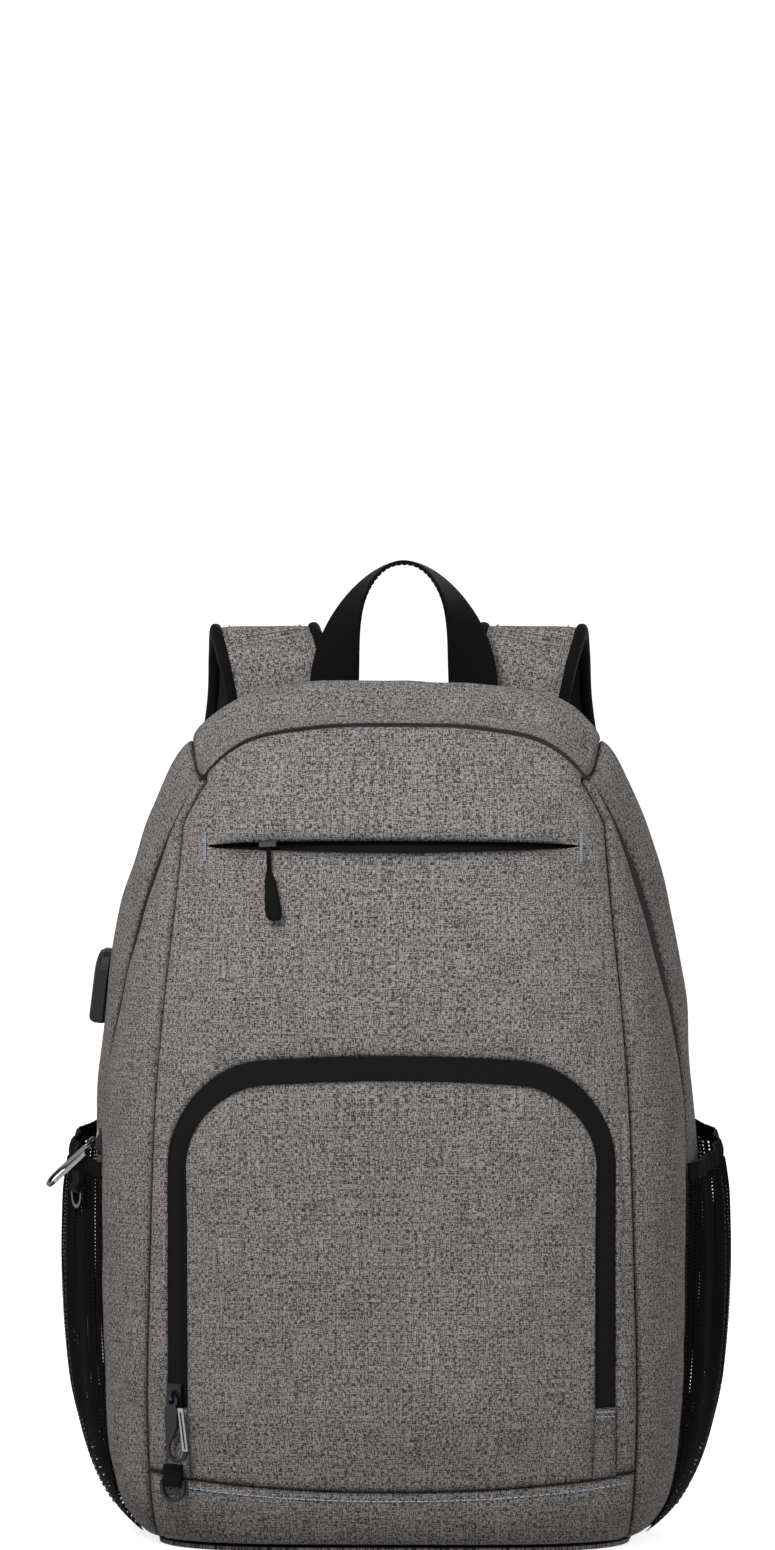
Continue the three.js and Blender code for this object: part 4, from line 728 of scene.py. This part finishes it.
def upper_edge(part):
    """Outer edge of the upper panel beside each part of the arch: the side seam, then the main zip."""
    foot, turn = EDGE_SEAM + SEAM_GAP, ARCH_SPRING + ARCH_RADIUS
    z = np.where(part < 1, foot + part * (turn - foot), turn + (part - 1) * (SEAM_TOP - turn))
    z = np.minimum(z, SEAM_TOP)
    start = float(loop_at(SEAM_TOP, ZIP_FRONT))
    over = loop_point(start + (1 - start) * np.clip(part - 2, 0, 1), np.full(part.shape, float(ZIP_FRONT)))
    x = seam_across(z) - SEAM_GAP / 2
    x = np.where(part > 2, np.minimum(over[..., 0], x), x)
    return x, np.where(part > 2, over[..., 2], z)


def slit_lips(x):
    """Half opening of the slit: a flat lens."""
    q = np.clip((x / SLIT_HALF + 1) / 2, 0, 1)
    return SLIT_OPEN / 2 * np.sin(math.pi * q) ** 0.6


def upper_panel():
    """Main front panel round the arch, in two sheets that part at the lens of the slit. On each column the
    crossing of the slit's height is found by proportion, and the rows stop at the lips, which roll in."""
    part, side = whole(np.concatenate([unit(70), 1 + unit(60)[1:], 2 + unit(60)[1:]]))
    offset = ARCH_TAPE / 2 + SEAM_GAP / 2 - COVER
    x0, z0 = arch(part, offset, float(base_seam(ARCH_HALF + offset)) + SEAM_GAP)
    x1, z1 = upper_edge(part)
    cross = (SLIT_HEIGHT - z0) / (z1 - z0)
    lips = slit_lips(x0 + np.clip(cross, 0, 1) * (x1 - x0))
    open_share = (lips + 0.4 * (lips > 0.05)) / (z1 - z0)
    reach = cross < 1
    low = np.where(reach, np.clip(cross - open_share, 0, 1), 1)[:, None]
    high = np.where(reach, np.clip(cross + open_share, 0, 1), 1)[:, None]
    lower_rows, upper_rows = 64, 38
    share = np.concatenate([low * unit(lower_rows), high + (1 - high) * unit(upper_rows)], axis=1)
    x = x0[:, None] + share * (x1 - x0)[:, None]
    z = z0[:, None] + share * (z1 - z0)[:, None]
    near = np.maximum(np.abs(z - SLIT_HEIGHT) - slit_lips(x) - 0.4, 0)
    roll = np.exp(-near / 2.2) * smooth(slit_lips(x), 0.3, 1.2)
    beside = np.minimum(seam_across(z), front_half(z)) - x
    swell = UPPER_PUFF * smooth(share, 0, 0.3) * smooth(beside, 0, 45)
    swell *= smooth(float(z1.max()) - z, 0, 45) * smooth(z, ARCH_SPRING, ARCH_SPRING + ARCH_RADIUS)
    p = front_point(side[:, None] * x, z, swell - 1.5 * roll)
    # Painted shade: darker along the seams and in the slit's rolled-in lips
    crease = np.maximum(np.exp(-edge_distance(p) / SHADE_REACH), roll)
    p = sewn(p, edge_distance(p), 61, 0.9, 1.5, 62)
    below = slice(0, lower_rows)
    uv = front_uv(p[:, below])
    shell("upper_panel", p[:, below], CLOTH, uv, "melange", ("upper_panel",), crease[:, below])
    over = np.flatnonzero(reach)
    above = slice(over[0], over[-1] + 1), slice(lower_rows, None)
    shell("upper_panel_top", p[above], CLOTH, front_uv(p[above]), "melange", (), crease[above])


def slit():
    """Zip tape behind the slit, and two lines of close stitches at each of its ends."""
    tape_z = SLIT_HEIGHT + np.array([-0.5, 0.5]) * SLIT_TAPE
    u, z = np.meshgrid(np.linspace(-1, 1, 160), np.linspace(*tape_z, 12), indexing="ij")
    tape = front_point(u * (SLIT_HALF + SLIT_TAPE / 4), z, -SLIT_DROP)
    uv = np.stack([u * SLIT_HALF, z - tape_z[0]], -1)
    shell("slit_zip", tape, TAPE_WALL, uv, "zip", ("slit_zip",))
    z = np.linspace(-8, 8, 12) + SLIT_HEIGHT
    for k, end in enumerate((-1, 1)):
        for line in range(2):
            row = front_point(np.full(12, end * (SLIT_HALF + 1 + 0.7 * line)), z, 1.2)
            seam_row(f"bartack_{k}_{line}", row, lift=0.5, material="pale_thread", pitch=1.3, length=1.1,
                     half=0.3)


def mesh_top(share):
    """Height of a mesh pocket's top, sloping up to the rear."""
    return MESH_REAR + (MESH_FRONT - MESH_REAR) * share


def mesh_point(side, share, z, extra, fold):
    """Mesh pocket: the gusset pushed out by the bulge, a rounded cross section, and sine pleats."""
    depth = BACK_SEAM + SEAM_GAP + share * (ZIP_FRONT - BACK_SEAM - 2 * SEAM_GAP)
    up = np.clip((z - MESH_FOOT) / (mesh_top(share) - MESH_FOOT), 0, 1)
    cross = np.maximum(1 - np.abs(2 * share - 1) ** 2.6, 0) ** 0.8
    folds = fold * PLEAT_DEPTH * np.sin(2 * math.pi * PLEAT_COUNT * share) * smooth(up, 0.1, 0.6) * cross
    bulge = MESH_BULGE * lookup(MESH, up) * cross + folds
    clear = MESH_CLEAR + SIDE_PUFF * np.sin(math.pi * share)
    p = push(loop_point(loop_at(z, depth), depth), clear + np.maximum(bulge, 0) + extra)
    p[..., 0] *= side
    return p


def gathers(share):
    """Fine folds of the elastic edge: a sine whose phase drifts, fading to the pocket's ends."""
    return np.sin(2 * math.pi * GATHERS * share + 2 * np.sin(9 * share)) * np.sin(math.pi * share)


def mesh_pocket(side, word):
    """Net pocket with pleats and fine gathers under its bound top edge."""
    share, q = np.meshgrid(unit(170), unit(70, 1.3), indexing="ij")
    z = MESH_FOOT + q * (mesh_top(share) - BAND_HEIGHT - SEAM_GAP - MESH_FOOT)
    gather = 0.5 * gathers(share) * smooth(q, 0.55, 1)
    p = mesh_point(side, share, z, MESH_WALL + gather, NET_FOLD)
    name, uv = f"mesh_pocket_{word}", np.stack([share * NET_LENGTH, z], -1)
    shell(name, p, NET_WALL, uv, "net", (name,))
    share, q = np.meshgrid(unit(190), unit(10), indexing="ij")
    z = mesh_top(share) - BAND_HEIGHT * (1 - q)
    lift = BAND_WALL * (0.6 + 0.4 * np.sin(math.pi * q)) + 0.45 * gathers(share)
    name, uv = f"pocket_band_{word}", np.stack([share * NET_LENGTH, z], -1)
    shell(name, mesh_point(side, share, z, lift, 1.0), EDGING_WALL, uv, "binding", (name,))
    row = mesh_point(side, np.full(60, 0.72), np.linspace(20, MESH_FRONT - 6, 60), MESH_WALL, NET_FOLD)
    seam_row(f"pocket_side_stitch_{word}", row, lift=0.4, material="dark_thread")


# Bands

def frames(stops, count, crowd=1.0):
    """Frames along a route of stops (x, y, z, across x, y, z, width, thick), squared to the route."""
    stops = np.asarray(stops, float)
    t = unit(count)
    t = t * (crowd + (1 - crowd) * t)
    at = spline(stops[:, :3], t)
    along = unit_length(np.gradient(at, axis=0))
    spot = t * (len(stops) - 1)
    rest = np.stack([np.interp(spot, np.arange(len(stops)), stops[:, k]) for k in range(3, 8)], -1)
    across = unit_length(rest[:, :3] - along * np.sum(rest[:, :3] * along, axis=1, keepdims=True))
    return at, across, np.cross(along, across), rest[:, 3], rest[:, 4]


def rounded(power, count):
    """Section shares (across, face) of a superellipse."""
    a = 2 * math.pi * np.arange(count) / count
    return np.stack([np.sign(np.cos(a)) * np.abs(np.cos(a)) ** (2 / power),
                     np.sign(np.sin(a)) * np.abs(np.sin(a)) ** (2 / power)], -1)


def tube(name, route, section, material, shape=None):
    """Band lofted along frames, closed at both ends, that stands for the CAD node of the same name; shape
    gives the section (across, face) in millimetres for each frame."""
    at, across, face, width, thick = route
    if shape is None:
        shape = section[None] * np.stack([width, thick], -1)[:, None] / 2
    rings = at[:, None] + across[:, None] * shape[..., :1] + face[:, None] * shape[..., 1:]
    centres = rings.mean(axis=1, keepdims=True)
    closed = np.concatenate([centres[:1] + 0 * rings[:1], rings, centres[-1:] + 0 * rings[-1:]])
    run = run_along(at)
    run = np.concatenate([run[:1], run, run[-1:]])
    wide = np.concatenate([shape[:1], shape, shape[-1:]])[..., 0]
    uv = np.stack([wide, run[:, None] + 0 * wide], -1).transpose(1, 0, 2)
    points = closed.transpose(1, 0, 2)
    quads = grid_quads(points.shape[0], points.shape[1], is_ring=True)
    add_mesh(name, points.reshape(-1, 3), quads, uv.reshape(-1, 2), material, (name,))


def gusset_top_height(x, depth):
    """Height of the top wall at a place across."""
    across, places = RIM[:HALF, 0][HALF // 2:], PLACES[:HALF][HALF // 2:]
    at = np.interp(-x, -across * float(station(depth)[1]), places)
    swell = SIDE_PUFF * math.sin(math.pi * (depth - BACK_SEAM) / GUSSET_DEPTH)
    return float(push(loop_point(np.array([at]), np.array([depth])), np.array([swell]))[0, 2])


def handle():
    """Webbing arch: half a sine across, a rounded cosine up, turning from upright feet to a level crest."""
    inner = HANDLE_HALF - HANDLE_SHIFT - HANDLE_WIDTH / 2
    foot = gusset_top_height(inner, HANDLE_FOOT + WEBBING_WALL / 2) + SEAM_GAP
    u = np.linspace(-1, 1, 140)
    angle = u * math.pi / 2
    at = place(HANDLE_SHIFT + HANDLE_HALF * np.sin(angle) * (1 - 0.1 * np.cos(angle)),
               HANDLE_FOOT - 4 * np.cos(angle),
               foot + HANDLE_RISE * np.maximum(np.cos(angle), 0) ** 0.85)
    along = np.gradient(at, axis=0)
    along[0], along[-1] = (0, 0, 1), (0, 0, -1)
    along = unit_length(along)
    back = np.array([0.0, 1, 0])
    level = unit_length(np.cross(along, back))
    turn = (math.pi / 2 * (1 - np.abs(u) ** 2.2))[:, None]
    across = level * np.cos(turn) + back * np.sin(turn)
    face = unit_length(np.cross(along, across))
    full = np.full(140, 1.0)
    tube("haul_handle", (at, across, face, HANDLE_WIDTH * full, 2.2 * full), rounded(7, 28), "webbing")
    for k, edge in enumerate((-0.42, 0.42)):
        row = at + across * HANDLE_WIDTH * edge - face * 1.25
        stitches(f"handle_stitch_{k}", row[4:-4], -face[4:-4], "dark_thread", pitch=3.0)


def strap_route(side):
    """Frames of a shoulder strap, sewn to the back, over its crest and down behind."""
    across, behind, up, thick = np.array(STRAP).T
    start = panel_back(PANEL_AT_STRAP) - 2 * SEAM_GAP - BINDING_WALL - thick[0] * STRAP_PAD / 2
    at = place(side * across * HALF_WIDTH, start - STRAP_REACH * behind, up * BAG_HEIGHT)
    one = np.ones(len(STRAP))
    stops = np.column_stack([at, one, 0 * one, 0 * one, STRAP_WIDTH * one, thick * STRAP_PAD])
    return frames(stops, 150, 0.7), at[-1]


def strap(side, word):
    """Padded strap: grey outer face, black mesh inner face, taped edges, stitch rows and sewn creases."""
    route, end = strap_route(side)
    at, across, face, width, thick = route
    run = run_along(at)
    crease = 0.45 * np.exp(-((run - UPPER_CREASE) / 3.5) ** 2)
    crease += 0.3 * np.exp(-((run - LOWER_CREASE) / 3) ** 2)
    half, inner = width / 2 - TAPED, thick / 2 - 0.2
    s = np.linspace(-1, 1, 30)
    edge = (1 - np.abs(s) ** 6) ** 0.5 * (0.75 + 0.25 * (1 - s ** 2))
    wide = half[:, None] * s
    for sign, material, tail in ((-1, "melange", ""), (1, "spacer", "_lining")):
        high = inner[:, None] * edge[None] * (1 - crease[:, None] * (sign < 0)) + 0.15
        grid = at[:, None] + across[:, None] * wide[..., None]
        outer = grid + face[:, None] * (sign * high)[..., None]
        core = grid + face[:, None] * (sign * 0.04)
        points = np.concatenate([outer, core[:, ::-1]], axis=1).transpose(1, 0, 2)
        round_wide = np.concatenate([wide, wide[:, ::-1]], axis=1).T
        uv = np.stack([round_wide, run + 0 * round_wide], -1)
        quads = grid_quads(2 * len(s), len(at), is_ring=True)
        if sign < 0:
            quads = quads[:, ::-1]
        cad = (f"strap_{word}",) if sign < 0 else ()
        points, uv = points.reshape(-1, 3), uv.reshape(-1, 2)
        piece = add_mesh(f"strap_{word}{tail}", points, quads, uv, material, cad)
    r = BINDING / 2 - 0.3
    section = rounded(2.6, 24)
    for tag, way in (("outer", side), ("inner", -side)):
        shape = np.stack([way * (half[:, None] + TAPED - r + r * section[None, :, 0]),
                          (inner + 1.0)[:, None] * section[None, :, 1]], -1)
        tube(f"strap_binding_{word}_{tag}", route, None, "binding", shape)
        row = at + across * (way * (half[:, None] - 8.5)) - face * (inner * 0.93 + 0.35)[:, None]
        stitches(f"strap_stitch_{word}_{tag}", row[3:-3], -face[3:-3])
    k = int(np.argmin(np.abs(run - UPPER_CREASE)))
    x = np.linspace(-half[k] + 6, half[k] - 6, 30)[:, None]
    for m, shift in enumerate((-3.2, 3.2)):
        j = int(np.argmin(np.abs(run - UPPER_CREASE - shift)))
        row = at[j] + across[j] * x - face[j] * (inner[j] * 0.86 + 0.3)
        stitches(f"strap_crease_{word}_{m}", row, np.repeat(-face[j][None], 30, 0))
    webbing(side, word, end)


def web(points, tilt=None):
    """Stops of a webbing run: places, their width directions, width and thickness."""
    points = np.asarray(points, float)
    one = np.ones(len(points))
    tilt = np.tile([1.0, 0, 0], (len(points), 1)) if tilt is None else np.asarray(tilt, float)
    return np.column_stack([points, tilt, STRAP_WEBBING * one, WEB_THIN * one])


def wing_point(side, z, out):
    """Point at the back panel's edge at a height, moved out behind it."""
    edge = float(loop_point(loop_at(np.array([float(z)]), BACK_SEAM), np.array([float(BACK_SEAM)]))[0, 0])
    return place(side * (edge - CLOTH), panel_back(PANEL_AT_WING) - SEAM_GAP - out, z)


def wing_tab(side, word):
    """Cloth tab between its seam and the webbing, blended from its four corners."""
    corners = [wing_point(side, WING_TOP, 0), wing_point(side, WING_FOOT, 0),
               wing_point(side, WING_FOOT + 4, WING_REACH), wing_point(side, WING_FOOT + 26, WING_REACH)]
    u, v = np.meshgrid(unit(24), unit(24), indexing="ij")
    weights = [(1 - u) * (1 - v), u * (1 - v), u * v, (1 - u) * v]
    p = sum(weight[..., None] * corner for weight, corner in zip(weights, corners))
    name = f"wing_tab_{word}"
    shell(name, p + [side * CLOTH / 2, 0, 0], CLOTH, p[..., 1:], "melange", (name,))


def webbing(side, word, end):
    """Lower end of a strap: the short loop, the adjusting run through the lock, and the wing tab."""
    length = 3 * LOCK_BAR + 2 * LOCK_SLOT
    reach = LOCK_THICK / 2 + SEAM_GAP + WEB_THIN / 2 + WEB_SLACK
    spot = np.array([end[0], end[1], end[2] - 2 * SEAM_GAP - WEB_THIN - length / 2])
    h = LOCK_BAR / 2 + WEB_THIN / 2 + 3 * SEAM_GAP
    bend = np.array([(reach, -h * 0.5), (reach * 0.8, h * 0.8), (0, h + 0.2), (-reach * 0.8, h * 0.8),
                     (-reach, -h * 0.5)])

    def round_bar(centre, sense):
        return centre + np.column_stack([np.zeros(5), bend[:, 0], sense * bend[:, 1]])

    def from_bar(x, behind, z):
        return np.array([x, spot[1] + behind, z])

    thin = rounded(6, 20)
    turn = round_bar(spot + [0, 0, length / 2 - LOCK_BAR / 2], -1)
    legs = [np.array([*turn[k][:2], end[2] + 6]) for k in (0, 4)]
    tube(f"lock_tab_{word}", frames(web([legs[0], *turn, legs[1]]), 60), thin, "webbing")

    rear = wing_point(side, WING_FOOT + 15, WING_REACH + 2 * SEAM_GAP)
    turn = round_bar(spot, 1)
    low = spot[2] - length / 2 - 4
    points = [rear, from_bar(rear[0], 10, rear[2]),
              from_bar(side * 0.9 * HALF_WIDTH, 22, 92), from_bar(side * 0.8 * HALF_WIDTH, 12, 118),
              [*turn[0][:2], low], *turn, [*turn[4][:2], low],
              from_bar(spot[0] + side * 2, 8, 118), from_bar(spot[0] + side * 5, 6, 88),
              from_bar(spot[0] + side * 6, 2, TAIL_FOOT)]
    level, upright = np.array([1.0, 0, 0]), np.array([0.0, 0, side])
    tilt = [level * (1 - w) + upright * w for w in (1, 1, 0.45, 0.15)] + [level] * 10
    tube(f"strap_webbing_{word}", frames(web(points, tilt), 160), thin, "webbing")
    wing_tab(side, word)


# Hard pieces keep their CAD shape, with rounded edges

def dress(name, material, width=0.25, segments=2):
    """Material and a small bevel on a CAD node."""
    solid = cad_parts[name]
    solid.data.materials.clear()
    solid.data.materials.append(MATERIALS[material])
    bevel = solid.modifiers.new("edge", "BEVEL")
    bevel.width = width / 1000
    bevel.segments = segments
    bevel.limit_method = "ANGLE"
    bevel.angle_limit = math.radians(35)


def short_cord():
    """Pull cord of the slit zip: a bent round cord across the box of its CAD node."""
    low, high = (np.array(corner) * 1000 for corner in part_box("slit_cord"))
    start = np.array([low[0] + 1.7, high[1] - 2.0, high[2] - 0.5])
    finish = np.array([high[0] - 1.7, low[1] + 2.0, low[2] + 0.2])
    points = np.array([start, (low + high) / 2 + [0.2, -1.6, 1.5], finish])
    one = np.ones(3)
    stops = np.column_stack([points, one, 0 * one, 0 * one, 2.4 * one, 1.9 * one])
    tube("slit_cord", frames(stops, 30), rounded(2, 14), "webbing")


base_plate()
back_panel()
top_gusset()
main_zip()
lower_front()
pocket_zip()
pocket_panel()
upper_panel()
slit()
handle()
for word, side in (("right", 1), ("left", -1)):
    side_gusset(side, word)
    front_side(side, word)
    zip_end(side, word)
    mesh_pocket(side, word)
    strap(side, word)
short_cord()
for name in ("pocket_slider", "main_slider", "pocket_pull", "main_pull"):
    dress(name, "metal")
for name in ("pocket_gate", "main_gate", "pocket_ring", "side_ring"):
    dress(name, "bright_metal" if "gate" in name else "metal", 0.2)
for name in ("ladder_lock_left", "ladder_lock_right", "charge_port"):
    dress(name, "plastic", 0.5, 3)
dress("slit_slider", "plastic", 0.3)
dress("slit_grip", "rubber", 0.8, 3)
for name in ("pocket_tab", "side_tab"):
    dress(name, "webbing", 0.3)


# Camera, light and floor

def area(name, at, target, size, power):
    """Soft square light aimed at a point."""
    light = bpy.data.lights.new(name, "AREA")
    light.size, light.energy = size, power
    lamp = linked(name, light)
    lamp.location = at
    x, y, z = np.array(target) - np.array(at)
    lamp.rotation_euler = (math.atan2(math.hypot(x, y), -z), 0, math.atan2(y, x) - math.pi / 2)


def studio():
    """Soft lights and a white surround, in metres."""
    scene = bpy.context.scene
    scene.view_settings.view_transform = "Standard"
    scene.world = bpy.data.worlds.new("surround")
    scene.world.use_nodes = True
    background = scene.world.node_tree.nodes["Background"]
    background.inputs[0].default_value = (1, 1, 1, 1)
    background.inputs[1].default_value = 0.36
    area("key", (-0.6, -1.35, 1.5), (0, 0, 0.28), 0.8, 33)
    area("fill", (1.6, -1.6, 0.9), (0, 0, 0.25), 1.0, 10)
    area("back", (0.7, 2.2, 1.7), (0, 0, 0.3), 1.2, 26)


def bowl():
    """Pale round floor that bends up into a wall: radius and height by rings, in metres."""
    inner, corner, top, sides = 6, 2, 12, 64
    bend = np.linspace(-math.pi / 2, 0, 16)
    reach = np.concatenate([[0.01], inner + corner * np.cos(bend), [inner + corner]])
    height = np.concatenate([[0], corner + corner * np.sin(bend), [top]])
    angle = np.arange(sides) * 2 * math.pi / sides
    x, y = np.cos(angle)[:, None] * reach, np.sin(angle)[:, None] * reach
    points = np.stack([x, y, np.broadcast_to(height, x.shape)], -1).reshape(-1, 3)
    mesh = bpy.data.meshes.new("floor")
    mesh.from_pydata(points.tolist(), [], grid_quads(sides, len(reach), is_ring=True)[:, ::-1].tolist())
    mesh.polygons.foreach_set("use_smooth", [True] * len(mesh.polygons))
    floor = linked("floor", mesh)
    paper = MATERIALS["paper"].node_tree.nodes["Principled BSDF"]
    paper.inputs["Emission Color"].default_value = (1, 1, 1, 1)
    paper.inputs["Emission Strength"].default_value = 0.78
    mesh.materials.append(MATERIALS["paper"])
    floor.visible_diffuse = False


def photo_camera():
    """Long lens at the photo's angle, shifted so that the bag stands low in the tall frame."""
    distance, turn, rise = 4.2, math.radians(-1.2), math.radians(3)
    front_plane, frame_height, sensor = 0.06, 0.823, 36
    data = bpy.data.cameras.new("camera")
    camera = linked("camera", data)
    bpy.context.scene.camera = camera
    way = [math.sin(-turn) * math.cos(rise), -math.cos(turn) * math.cos(rise), math.sin(rise)]
    camera.location = np.array([-0.004, 0, 0.25]) + distance * np.array(way)
    camera.rotation_euler = (math.pi / 2 - rise, 0, -turn)
    data.sensor_fit = "VERTICAL"
    data.sensor_height = sensor
    data.lens = sensor * (distance - front_plane) / frame_height
    data.shift_y = 0.193


studio()
bowl()
photo_camera()
